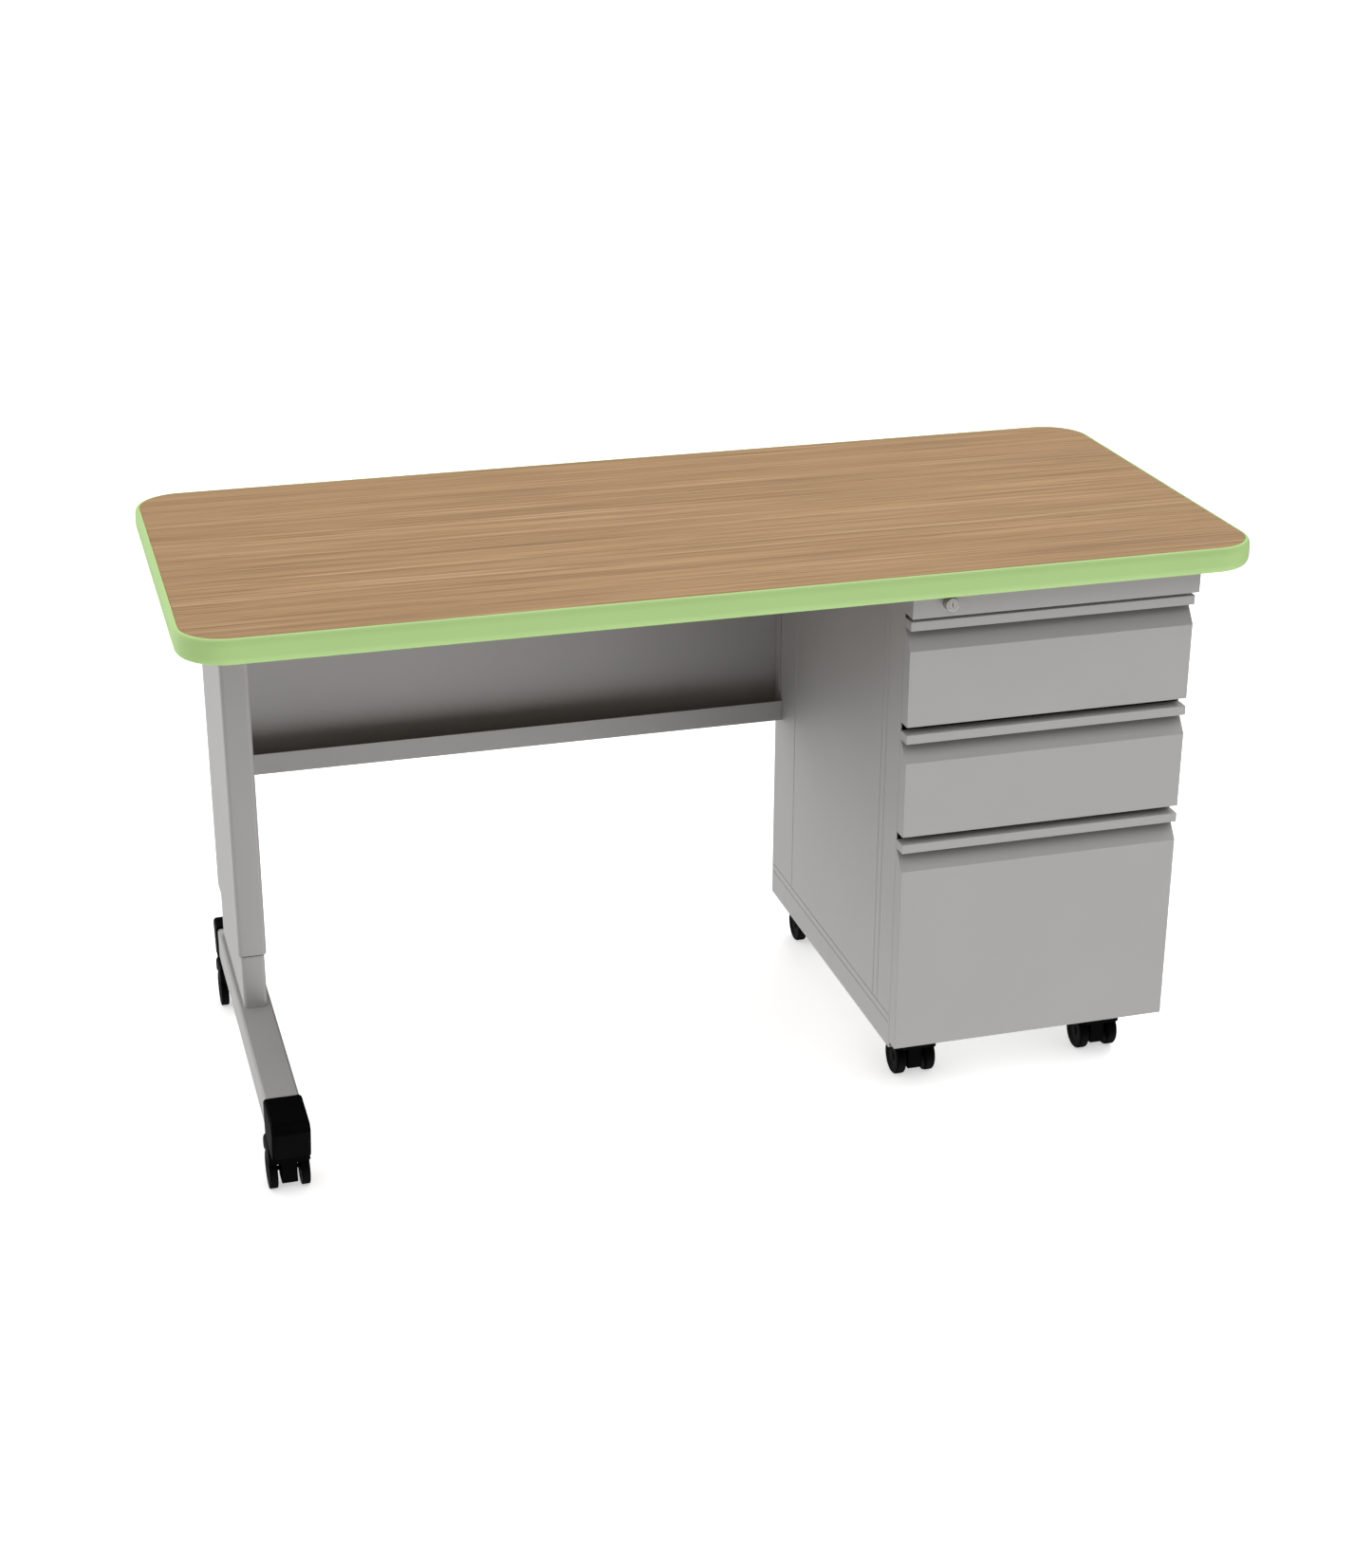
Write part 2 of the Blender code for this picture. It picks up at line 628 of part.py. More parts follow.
def leg_stem_mesh():
    """A threaded stem through the foot bar's bottom wall, held by a nut inside the bar."""
    nut_low = FOOT_BOTTOM + FOOT_WALL + GAP
    nut_high = nut_low + NUT_HEIGHT
    profile = [
        (0, STEM_FOOT),
        (STEM_RADIUS, STEM_FOOT),
        (STEM_RADIUS, nut_low),
        (NUT_RADIUS, nut_low),
        (NUT_RADIUS, nut_high),
        (STEM_RADIUS, nut_high),
        (STEM_RADIUS, nut_high + STEM_TIP),
        (0, nut_high + STEM_TIP),
    ]
    return turned_mesh("leg_caster_stem", profile, steps=SCREW_STEPS)


def pedestal_stem_mesh():
    """A round swivel plate under the pedestal with its kingpin."""
    plate_high = PEDESTAL_BOTTOM - GAP
    plate_low = HOOD_TOP + SWIVEL_PLATE_GAP
    profile = [
        (0, STEM_FOOT),
        (STEM_RADIUS, STEM_FOOT),
        (STEM_RADIUS, plate_low),
        (SWIVEL_NECK_RADIUS, plate_low),
        (SWIVEL_PLATE_RADIUS, plate_low + SWIVEL_CONE),
        (SWIVEL_PLATE_RADIUS, plate_high),
        (0, plate_high),
    ]
    return turned_mesh("pedestal_caster_plate", profile, steps=PLATE_STEPS)


def make_casters(kind, spots, stem, leg_empty=None):
    """Casters of one kind. leg_empty is the joint that they ride on, or None on the pedestal."""
    body = caster_body_mesh(kind)
    wheel = wheel_mesh(kind)
    for name, spot in spots.items():
        swivel = joint_empty(f"caster_{name}_swivel_axis", (*spot, 0))
        stem_piece = place(f"caster_{name}_stem", stem, "zinc_steel", (*spot, 0))
        body_piece = place(f"caster_{name}_body", body, "black_plastic")
        body_piece.parent = swivel
        for side, sign in (("left", -1), ("right", 1)):
            turning = place(f"caster_{name}_wheel_{side}", wheel, "wheel_rubber")
            turning.location = (sign * kind["offset"], CASTER_TRAIL, WHEEL_RADIUS)
            turning.rotation_euler = (0, 0, 0 if sign > 0 else math.pi)
            turning.parent = swivel
        if leg_empty:
            hang_on(leg_empty, stem_piece, swivel)


# Pedestal case ------------------------------------------------------------------------------------


def seam_boxes(outer_x, inward):
    """Shallow pressed seams in a side panel: upright at the front and back, and along the foot."""
    low_x, high_x = sorted((outer_x - inward * CUT_BEYOND, outer_x + inward * SEAM_DEPTH))
    half = SEAM_WIDTH / 2
    front = CASE_FRONT + SEAM_STOP
    back = PEDESTAL_BACK - SEAM_STOP
    low = max(FOOT_SEAMS) + half + SEAM_STEP
    high = CASE_TOP - SEAM_STOP
    foot = [((low_x, front, z - half), (high_x, back, z + half)) for z in FOOT_SEAMS]
    upright = [((low_x, y - half, low), (high_x, y + half, high)) for y in UPRIGHT_SEAMS]
    return foot + upright


def make_side(name, outer_x, inward):
    inner_x = outer_x + inward * CASE_SHEET
    low_x, high_x = sorted((outer_x, inner_x))
    high = (high_x, PEDESTAL_BACK, CASE_TOP)
    side = box(name, (low_x, CASE_FRONT, PEDESTAL_BOTTOM), high, "grey_steel")
    cut(side, boxes(f"{name}_seam_cutter", seam_boxes(outer_x, inward)))


def make_case():
    make_side("pedestal_side_left", PEDESTAL_LEFT, 1)
    make_side("pedestal_side_right", PEDESTAL_RIGHT, -1)
    left = PEDESTAL_LEFT + CASE_SHEET + GAP
    right = PEDESTAL_RIGHT - CASE_SHEET - GAP
    back = PEDESTAL_BACK - CASE_SHEET
    box("pedestal_back", (left, back, PEDESTAL_BOTTOM), (right, PEDESTAL_BACK, CASE_TOP), "grey_steel")
    for name, low in (("bottom", PEDESTAL_BOTTOM), ("top", CASE_TOP - CASE_SHEET)):
        high = low + CASE_SHEET
        box(f"pedestal_{name}", (left, CASE_FRONT, low), (right, back - GAP, high), "grey_steel")


def make_top_rail():
    left = PEDESTAL_LEFT - RAIL_OVERHANG
    right = PEDESTAL_RIGHT + RAIL_OVERHANG
    low = CASE_TOP - RAIL_HEIGHT
    back = CASE_FRONT - GAP
    rail = box("top_rail", (left, RAIL_FACE, low), (right, back, CASE_TOP), "grey_steel")
    inside = box(
        "top_rail_cutter",
        (left + SHEET, RAIL_FACE + SHEET, low + SHEET),
        (right - SHEET, back + CUT_BEYOND, CASE_TOP - SHEET),
    )
    front = RAIL_FACE - CUT_BEYOND
    hole = rod_mesh("lock_hole", LOCK_RADIUS + GAP, front, RAIL_FACE + CUT_BEYOND, "y", ROUND_STEPS)
    cut(rail, inside, place("lock_hole_cutter", hole, location=(LOCK_X, 0, LOCK_Z)))


def make_lock():
    """The barrel turns a quarter turn. At rest its cam points left, clear of the top drawer's keeper."""
    face = RAIL_FACE - LOCK_PROUD
    back = CASE_FRONT + LOCK_TAIL
    profile = [
        (0, face),
        (LOCK_RADIUS - LOCK_CHAMFER, face),
        (LOCK_RADIUS, face + LOCK_CHAMFER),
        (LOCK_RADIUS, back),
        (0, back),
    ]
    mesh = turned_mesh("lock_barrel", profile, "y")
    barrel = place("lock_barrel", mesh, "lock_metal", (LOCK_X, 0, LOCK_Z))
    width, height, depth = KEYWAY
    keyway = box(
        "keyway_cutter",
        (LOCK_X - width / 2, face - CUT_BEYOND, LOCK_Z - height / 2),
        (LOCK_X + width / 2, face + depth, LOCK_Z + height / 2),
    )
    cut(barrel, keyway)
    cam_front = back + GAP
    cam = box(
        "lock_cam",
        (LOCK_X - CAM_REACH, cam_front, LOCK_Z - CAM_HALF),
        (LOCK_X + CAM_HEEL, cam_front + CAM_SHEET, LOCK_Z + CAM_HALF),
        "zinc_steel",
    )
    hang_on(joint_empty("lock_axis", (LOCK_X, face, LOCK_Z)), barrel, cam)


def slide_band(drawer):
    """Bottom and top of the drawer's slides."""
    low = drawer["face"] + BOX_LIFT + drawer["runner"]
    return low, low + RUNNER_HEIGHT


def mirrored(corners):
    """The same boxes on the other side of the pedestal."""
    total = PEDESTAL_LEFT + PEDESTAL_RIGHT
    return [((total - h[0], *l[1:]), (total - l[0], *h[1:])) for l, h in corners]


def make_slide_racks():
    """On each side, three channels on two uprights, folded from one sheet."""
    low_x = PEDESTAL_LEFT + CASE_SHEET + GAP
    high_x = low_x + RACK_DEPTH
    web_x = low_x + SHEET
    front = RUNNER_FRONT
    back = RUNNER_FRONT + RUNNER_LENGTH
    bands = sorted(slide_band(d) for d in DRAWERS.values())
    spaces = [(below[1], above[0]) for below, above in zip(bands, bands[1:])]
    rack = [((low_x, front, bands[0][0]), (high_x, back, bands[-1][1]))]
    hollows = [(low + SHEET, high - SHEET) for low, high in bands] + spaces
    channels = [
        ((web_x, front - CUT_BEYOND, low), (high_x + CUT_BEYOND, back + CUT_BEYOND, high))
        for low, high in hollows
    ]
    windows = [
        ((low_x - CUT_BEYOND, front + RACK_UPRIGHT, low), (high_x, back - RACK_UPRIGHT, high))
        for low, high in spaces
    ]
    for side, flip in (("left", lambda c: c), ("right", mirrored)):
        piece = boxes(f"slide_rack_{side}", flip(rack), "zinc_steel")
        cut(
            piece,
            boxes(f"rack_channels_{side}", flip(channels)),
            boxes(f"rack_windows_{side}", flip(windows)),
        )


# Drawers ------------------------------------------------------------------------------------------


def make_drawer_front(name, drawer):
    """A folded steel front: a flat face, a sloping finger recess and a square lip along the top."""
    outline = [
        (DRAWER_FACE, drawer["face"]),
        (DRAWER_FACE, drawer["crease"]),
        (RECESS_BACK, drawer["lip"]),
        (DRAWER_FACE, drawer["lip"]),
        (DRAWER_FACE, drawer["top"]),
        (DRAWER_BACK, drawer["top"]),
        (DRAWER_BACK, drawer["face"]),
    ]
    front = prism(f"drawer_front_{name}", outline, "x", PEDESTAL_LEFT, PEDESTAL_RIGHT, "grey_steel")
    beyond = DRAWER_BACK + CUT_BEYOND
    slope = (drawer["lip"] - drawer["crease"]) / (RECESS_BACK - DRAWER_FACE)
    drop = SHEET * math.hypot(1, slope)
    at_face = drawer["crease"] + slope * SHEET - drop
    at_back = drawer["crease"] + slope * (DRAWER_BACK - DRAWER_FACE) - drop
    hollow = [
        (DRAWER_FACE + SHEET, drawer["face"] + SHEET),
        (DRAWER_FACE + SHEET, at_face),
        (DRAWER_BACK, at_back),
        (beyond, at_back),
        (beyond, drawer["face"] + SHEET),
    ]
    left = PEDESTAL_LEFT + SHEET
    right = PEDESTAL_RIGHT - SHEET
    lip = box(
        f"{name}_lip_cutter",
        (left, DRAWER_FACE + SHEET, drawer["lip"] + SHEET),
        (right, beyond, drawer["top"] - SHEET),
    )
    cut(front, prism(f"{name}_front_cutter", hollow, "x", left, right), lip)
    return front


def make_keeper():
    """A slotted tongue behind the top drawer's front that the lock's cam drops into."""
    front = DRAWER_BACK + GAP
    wall_top = DRAWERS["top"]["face"] + BOX_LIFT + DRAWERS["top"]["box"]
    low = LOCK_Z - KEEPER_DROP
    high = low + SHEET
    left = LOCK_X - KEEPER_LEFT
    right = LOCK_X + KEEPER_RIGHT
    post = box("keeper_post_part", (left, front, wall_top - KEEPER_OVERLAP), (right, front + SHEET, high))
    shelf = box("keeper_shelf_part", (left, front, low), (right, front + KEEPER_DEPTH, high))
    slot = box(
        "keeper_slot_cutter",
        (left + KEEPER_RIM, CASE_FRONT + KEEPER_SLOT[0], low - CUT_BEYOND),
        (right - KEEPER_RIM, CASE_FRONT + KEEPER_SLOT[1], high + CUT_BEYOND),
    )
    return post, shelf, slot


def make_drawer_box(name, drawer):
    front = DRAWER_BACK + GAP
    low = drawer["face"] + BOX_LIFT
    high = low + drawer["box"]
    tray = box(f"drawer_box_{name}", (BOX_LEFT, front, low), (BOX_RIGHT, BOX_BACK, high), "grey_steel")
    inside = box(
        f"{name}_box_cutter",
        (BOX_LEFT + SHEET, front + SHEET, low + SHEET),
        (BOX_RIGHT - SHEET, BOX_BACK - SHEET, high + CUT_BEYOND),
    )
    cut(tray, inside)
    if name == "top":
        post, shelf, slot = make_keeper()
        fuse(tray, post, shelf)
        cut(tray, slot)
    return tray


def make_runners(name, drawer):
    """The moving channel on each side of the drawer box, nested in the rack's channel."""
    low, high = slide_band(drawer)
    low += SHEET + RUNNER_PLAY
    high -= SHEET + RUNNER_PLAY
    outer = PEDESTAL_LEFT + CASE_SHEET + SHEET + RUNNER_PLAY
    inner = BOX_LEFT - GAP
    front = RUNNER_FRONT + GAP
    back = RUNNER_FRONT + RUNNER_LENGTH - GAP
    solid = [((outer, front, low), (inner, back, high))]
    channel_low = (outer - CUT_BEYOND, front - CUT_BEYOND, low + SHEET)
    channel = [(channel_low, (inner - SHEET, back + CUT_BEYOND, high - SHEET))]
    made = []
    for side, flip in (("left", lambda c: c), ("right", mirrored)):
        runner = boxes(f"drawer_runner_{name}_{side}", flip(solid), "zinc_steel")
        cut(runner, boxes(f"{name}_runner_cutter_{side}", flip(channel)))
        made.append(runner)
    return made


def make_drawers():
    middle = (PEDESTAL_LEFT + PEDESTAL_RIGHT) / 2
    for name, drawer in DRAWERS.items():
        height = (drawer["face"] + drawer["top"]) / 2
        slide = joint_empty(f"drawer_{name}_slide_axis", (middle, DRAWER_FACE, height))
        hang_on(slide, make_drawer_front(name, drawer), make_drawer_box(name, drawer))
        hang_on(slide, *make_runners(name, drawer))


def make_desk():
    clear_scene()
    make_worktop()
    make_modesty_panel()
    leg_empty = make_leg()
    make_casters(LEG_CASTER, LEG_CASTERS, leg_stem_mesh(), leg_empty)
    make_casters(PEDESTAL_CASTER, PEDESTAL_CASTERS, pedestal_stem_mesh())
    make_case()
    make_top_rail()
    make_lock()
    make_slide_racks()
    make_drawers()


make_desk()
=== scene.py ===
"""Looks of the teacher desk: finishes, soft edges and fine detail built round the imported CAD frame.

Metres, +Z up, in the frame of the CAD model: +X towards the pedestal, -Y towards the user.
"""

import json
import math

import bmesh
import bpy
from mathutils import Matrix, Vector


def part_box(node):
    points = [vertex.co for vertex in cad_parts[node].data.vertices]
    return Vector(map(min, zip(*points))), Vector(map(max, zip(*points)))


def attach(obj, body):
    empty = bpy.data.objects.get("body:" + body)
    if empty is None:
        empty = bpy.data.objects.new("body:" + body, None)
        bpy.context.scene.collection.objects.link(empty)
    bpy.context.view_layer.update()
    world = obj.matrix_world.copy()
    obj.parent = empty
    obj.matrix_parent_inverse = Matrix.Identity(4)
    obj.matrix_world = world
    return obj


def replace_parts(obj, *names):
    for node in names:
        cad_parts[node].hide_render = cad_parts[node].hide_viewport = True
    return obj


# Colours, linear
WOOD_MID = (0.366, 0.230, 0.122)
WOOD_LIGHT = (0.520, 0.350, 0.205)
WOOD_DARK = (0.215, 0.124, 0.060)
WOOD_BANDS = ((0.352, 0.221, 0.117), WOOD_MID, (0.392, 0.250, 0.135))
BACKER = (0.235, 0.165, 0.105)
BACKER_FLECKS = ((0.205, 0.142, 0.090), BACKER, (0.262, 0.188, 0.122))
BAND_GREEN = (0.440, 0.640, 0.255)
STEEL_GREY = (0.420, 0.415, 0.408)
ZINC = (0.33, 0.335, 0.34)
NICKEL = (0.40, 0.39, 0.37)
BLACK = (0.0022, 0.0022, 0.0023)
RUBBER = (0.0021, 0.0021, 0.0021)
FLOOR_WHITE = (0.97, 0.97, 0.97)
FULL_WHITE = (1.0, 1.0, 1.0, 1.0)

# Camera
CAMERA_PLACE = (-0.8992, -3.0990, 1.7671)
CAMERA_YAW = 15.612  # degrees to the right of +Y
CAMERA_PITCH = 22.755  # degrees below the horizon
CAMERA_LENS = 59.062
CAMERA_SHIFT = (0.01752, -0.0120)

# Studio light: (sine of elevation, level) of an even sky, and broad soft boxes as (degrees left of
# -Y, elevation, half width in degrees, level). Those below the horizon stand for the lit floor.
SKY = [(-1.0, 0.03), (0.2, 0.02), (0.6, 0.45), (1.0, 0.02)]
SOFT_BOXES = [
    (45, -45, 40, 1.30),
    (-45, -45, 40, 3.90),
    (135, -15, 40, 2.10),
    (90, 10, 40, 1.00),
    (135, 10, 40, 0.65),
    (0, 60, 40, 1.90),
    (-135, 60, 40, 2.80),
]
FLOOR_REACH = 30.0
FLOOR_GLOW = 0.50
FLOOR_MOTTLE = ((0.3, 0.965), (0.7, 0.975))

# Shapes
TOP_CORNER = 0.0635
BAND_DEPTH = 0.0066
BAND_ROUND = (0.0052, 0.0098)  # across and up
BAND_SEAM = 0.0004  # of the groove between the band and the laminate
LAMINATE_SOFT = 0.0002
SEAM_WIDTH = 0.0022
SEAM_DEPTH = 0.0010
UPRIGHT_SEAMS = (-0.1955, -0.1785, 0.1715)  # places along the depth
FOOT_SEAMS = (0.1114, 0.1229)  # heights
SEAM_STOP = 0.004  # from the panel's edges
SEAM_STEP = 0.001  # between the upper foot seam and the upright ones
LIP_HEIGHT = 0.0120  # of the square lip along each drawer front
RECESS_HEIGHT = {"top": 0.0275, "middle": 0.0271, "file": 0.0267}
RECESS_WALL = 0.0013  # between the recess's deepest line and the front's back
FOLD_ROUND = 0.0007
GLIDE_PROUD = 0.0024  # of the inner column's faces
GLIDE_HEIGHT = 0.0009
COLUMN_CORNER = 0.0050
CAP_NOSE = 0.0130  # radius of a foot cap's nose
CAP_RAKE = 0.0100  # of its underside behind its tip
CAP_ROUND = 0.0048
HOOD_SHOULDER = 0.0065  # radius at the front of a caster's hood
HOOD_SLOPE = 0.0160  # radius at its back
HOOD_EDGE = 0.0470  # height of its lower edge
HOOD_ROUND = 0.0055
HOOD_CLEARANCE = 0.0018  # over the wheels
HUB_HALF = 0.0105
HUB_FRONT = 0.0080
HUB_RADIUS = 0.0130
HUB_TOP = 0.0600
HUB_ROUND = 0.0015
AXLE_RADIUS = 0.0030
AXLE_PLAY = 0.0002  # between the axle's ends and the wheels
CASTER_TRAIL = 0.0100
TREAD_ROUND = {"leg": 0.0014, "pedestal": 0.0032}
WHEEL_FACE = (  # of the outer face from its middle to the tyre: radius, and how far it is sunk
    (0.00005, 0.0004),
    (0.0040, 0.0005),
    (0.0062, 0.0011),
    (0.0066, 0.0020),
    (0.0135, 0.0020),
    (0.0152, 0.0012),
    (0.0168, 0.0002),
    (0.0174, 0.0),
    (0.0190, 0.0),
    (0.0192, 0.0004),
    (0.0195, 0.0004),
    (0.0197, 0.0),
)
WHEEL_BACK = (  # of the inner face from the tyre to its middle
    (0.0170, 0.0),
    (0.0160, 0.0012),
    (0.0070, 0.0012),
    (0.0060, 0.0),
    (0.00005, 0.0),
)
STEM_RADIUS = 0.0040
SWIVEL_NECK = 0.0150
SWIVEL_HEIGHT = 0.0050
SWIVEL_RISE = (0.0006, 0.0024, 0.0034)  # of the plate's neck, dish and rim above its lowest level
SWIVEL_SOFT = 0.0012
SCREW_SHANK = 0.0030
SCREW_DOME = 65  # degrees of arc from the head's edge to its flat top
LOCK_SOFT = 0.0009
PLUG_RADIUS = 0.0060
PLUG_GROOVE = (0.0004, 0.0003)  # width and depth
KEYWAY = (0.0009, 0.0066, 0.0030)  # width, height and depth
SOCKET = (0.0022, 0.0016)  # radius and depth of a screw's hexagon socket

SOFT_EDGE = 0.0005  # of the bevel on a CAD node's edges
SOFT_ANGLE = 35  # degrees; gentler edges get no bevel
FLAT_ANGLE = 1.0  # degrees; faces nearer to level with each other than this are merged
WELD_REACH = 0.00001
PAINTED_SHADE_REACH = 0.045  # how far off a piece's other faces still add painted shade to the powder coat's grey
OPENNESS_SAMPLES = 12
# Painted shade: the share of the grey kept at each openness, from a deep fold to an open face.
PAINTED_SHADE_RAMP = [(0.15, 0.50), (0.85, 1.0)]
ARC_STEPS = 8
CORNER_STEPS = 32
WHEEL_STEPS = 72
SHARP_ANGLE = 30
TINY = 0.00005
ROUND_NODES = ("worktop", "sleeve", "column", "foot_bar", "stem")

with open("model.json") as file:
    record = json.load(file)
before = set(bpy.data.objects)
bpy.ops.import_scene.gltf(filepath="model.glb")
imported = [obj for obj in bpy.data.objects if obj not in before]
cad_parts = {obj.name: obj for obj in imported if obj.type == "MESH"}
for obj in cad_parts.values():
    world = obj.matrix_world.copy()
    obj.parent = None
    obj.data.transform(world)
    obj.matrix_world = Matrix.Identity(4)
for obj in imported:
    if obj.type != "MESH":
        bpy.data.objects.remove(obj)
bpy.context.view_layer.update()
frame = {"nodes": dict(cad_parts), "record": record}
slots = {entry["node"]: entry["material_slot"] for entry in frame["record"]["subparts"]}
body_of = {
    node: body for body, nodes in frame["record"]["behaviour"]["bodies"].items() for node in nodes
}


# Materials ----------------------------------------------------------------------------------------


class Tree:
    """A node tree with short calls for adding and joining nodes."""

    def __init__(self, tree, place):
        self.tree = tree
        self.place = self.add("ShaderNodeTexCoord").outputs[place]

    def add(self, kind, **settings):
        node = self.tree.nodes.new(kind)
        for key, value in settings.items():
            setattr(node, key, value)
        return node

    def join(self, source, target):
        self.tree.links.new(source, target)

    def ramp(self, source, stops):
        """stops are (position, colour or grey level)."""
        node = self.add("ShaderNodeValToRGB")
        elements = node.color_ramp.elements
        while len(elements) < len(stops):
            elements.new(0.5)
        for element, (position, colour) in zip(elements, stops):
            grey = isinstance(colour, (int, float))
            element.position = position
            element.color = (colour, colour, colour, 1.0) if grey else (*colour, 1.0)
        self.join(source, node.inputs["Fac"])
        return node.outputs["Color"]

    def span(self, source, low, high, start=0.0, end=1.0, kind="LINEAR"):
        """A value that runs from start to end, stretched to run from low to high."""
        node = self.add("ShaderNodeMapRange", interpolation_type=kind)
        for name, value in (("From Min", start), ("From Max", end), ("To Min", low), ("To Max", high)):
            node.inputs[name].default_value = value
        self.join(source, node.inputs["Value"])
        return node.outputs["Result"]


class Finish(Tree):
    """A material under construction."""

    def __init__(self, name, colour, roughness, gloss=0.3, metallic=0.0):
        self.material = bpy.data.materials.new(name)
        self.material.use_nodes = True
        super().__init__(self.material.node_tree, "Object")
        self.shader = self.tree.nodes["Principled BSDF"]
        self.shader.inputs["Base Color"].default_value = (*colour, 1.0)
        self.shader.inputs["Roughness"].default_value = roughness
        self.shader.inputs["Specular IOR Level"].default_value = gloss
        self.shader.inputs["Metallic"].default_value = metallic

    def stretched(self, scale, source=None):
        """Coordinates multiplied by scale along each axis."""
        node = self.add("ShaderNodeMapping")
        node.inputs["Scale"].default_value = scale
        self.join(source or self.place, node.inputs["Vector"])
        return node.outputs["Vector"]

    def noise(self, scale, detail=3.0, rough=0.5, source=None):
        node = self.add("ShaderNodeTexNoise")
        node.inputs["Scale"].default_value = scale
        node.inputs["Detail"].default_value = detail
        node.inputs["Roughness"].default_value = rough
        self.join(source or self.place, node.inputs["Vector"])
        return node.outputs["Fac"]

    def openness(self, reach):
        """How open a piece is to its own faces within a reach: 1 on an open face, less in a fold."""
        node = self.add("ShaderNodeAmbientOcclusion", only_local=True)
        node.samples = OPENNESS_SAMPLES
        node.inputs["Distance"].default_value = reach
        return node.outputs["AO"]

    def blend(self, first, second, share, kind="MIX"):
        """share is a socket or a number; first and second are sockets or colours."""
        node = self.add("ShaderNodeMix", data_type="RGBA", blend_type=kind)
        for socket, value in ((node.inputs[6], first), (node.inputs[7], second), (node.inputs[0], share)):
            if isinstance(value, bpy.types.NodeSocket):
                self.join(value, socket)
            elif isinstance(value, tuple):
                socket.default_value = (*value, 1.0)
            else:
                socket.default_value = value
        return node.outputs[2]

    def bump(self, height, strength, distance, before=None):
        node = self.add("ShaderNodeBump")
        node.inputs["Strength"].default_value = strength
        node.inputs["Distance"].default_value = distance
        self.join(height, node.inputs["Height"])
        if before:
            self.join(before, node.inputs["Normal"])
        return node.outputs["Normal"]

    def finish(self, colour, roughness=None, normal=None):
        for name, source in (("Base Color", colour), ("Roughness", roughness), ("Normal", normal)):
            if source:
                self.join(source, self.shader.inputs[name])
        return self.material


def laminate_material():
    """Straight-grained wood print: broad bands, fine fibres, long pale lines, dark streaks and pores."""
    n = Finish("wood_laminate", WOOD_MID, 0.55, 0.08)
    drift = n.noise(1.0, 2, source=n.stretched((0.9, 5.0, 1.0)))
    shifted = n.add("ShaderNodeVectorMath", operation="MULTIPLY_ADD")
    n.join(drift, shifted.inputs[0])
    shifted.inputs[1].default_value = (0.0, 0.010, 0.0)
    n.join(n.place, shifted.inputs[2])
    grain = shifted.outputs["Vector"]
    bands = n.noise(1.0, 3, 0.55, n.stretched((0.7, 30.0, 1.0), grain))
    fibres = n.noise(1.0, 3, 0.60, n.stretched((3.0, 260.0, 1.0), grain))
    lines = n.noise(1.0, 1, 0.5, n.stretched((1.6, 150.0, 1.0), grain))
    streaks = n.noise(1.0, 2, 0.6, n.stretched((9.0, 230.0, 1.0), grain))
    pores = n.noise(1.0, 2, 0.5, n.stretched((45.0, 900.0, 1.0), grain))
    colour = n.ramp(bands, list(zip((0.32, 0.50, 0.70), WOOD_BANDS)))
    fine = n.ramp(fibres, [(0.36, 0.76), (0.50, 1.0), (0.64, 1.20)])
    colour = n.blend(colour, fine, 1.0, "MULTIPLY")
    colour = n.blend(colour, WOOD_LIGHT, n.ramp(lines, [(0.66, 0.0), (0.73, 0.80)]))
    colour = n.blend(colour, WOOD_DARK, n.ramp(streaks, [(0.62, 0.0), (0.74, 0.60)]))
    colour = n.blend(colour, WOOD_DARK, n.ramp(pores, [(0.64, 0.0), (0.74, 0.40)]))
    relief = n.bump(pores, 0.12, 0.00012, n.bump(fibres, 0.08, 0.00010))
    return n.finish(colour, n.span(fibres, 0.44, 0.58), relief)


def backer_material():
    """Smooth brown balancing sheet on the board's underside."""
    n = Finish("board_backer", BACKER, 0.6, 0.2)
    fleck = n.noise(260.0, 3)
    cloud = n.noise(9.0, 2)
    colour = n.ramp(fleck, list(zip((0.35, 0.55, 0.72), BACKER_FLECKS)))
    colour = n.blend(colour, n.ramp(cloud, [(0.3, 0.94), (0.7, 1.05)]), 1.0, "MULTIPLY")
    return n.finish(colour, n.span(fleck, 0.55, 0.68), n.bump(fleck, 0.15, 0.0001))


def band_material():
    """Extruded vinyl edge with a faint leather texture."""
    n = Finish("green_edge_vinyl", BAND_GREEN, 0.50, 0.15)
    pebble = n.noise(850.0, 3, 0.55)
    cloud = n.noise(14.0, 2)
    low, high = (tuple(c * share for c in BAND_GREEN) for share in (0.985, 1.015))
    tint = n.ramp(cloud, [(0.3, low), (0.7, high)])
    return n.finish(tint, n.span(pebble, 0.46, 0.56), n.bump(pebble, 0.10, 0.00012))


def steel_material():
    """Powder coat: an even grey with painted shade in its folds, an orange-peel surface and a faint mottle.
    """
    n = Finish("grey_powder_coat", STEEL_GREY, 0.5, 0.2)
    peel = n.noise(520.0, 2, 0.45)
    grit = n.noise(2600.0, 1, 0.5)
    cloud = n.noise(6.0, 3)
    low, high = (tuple(c * share for c in STEEL_GREY) for share in (0.98, 1.015))
    tint = n.ramp(cloud, [(0.3, low), (0.7, high)])
    speck = n.ramp(grit, [(0.30, 0.965), (0.55, 1.0)])
    colour = n.blend(tint, speck, 1.0, "MULTIPLY")
    # Painted shade: the grey darkens where the piece's own faces close round a point, in folds and recesses.
    colour = n.blend(colour, n.ramp(n.openness(PAINTED_SHADE_REACH), PAINTED_SHADE_RAMP), 1.0, "MULTIPLY")
    relief = n.bump(grit, 0.04, 0.00004, n.bump(peel, 0.05, 0.00008))
    return n.finish(colour, n.span(peel, 0.45, 0.55), relief)


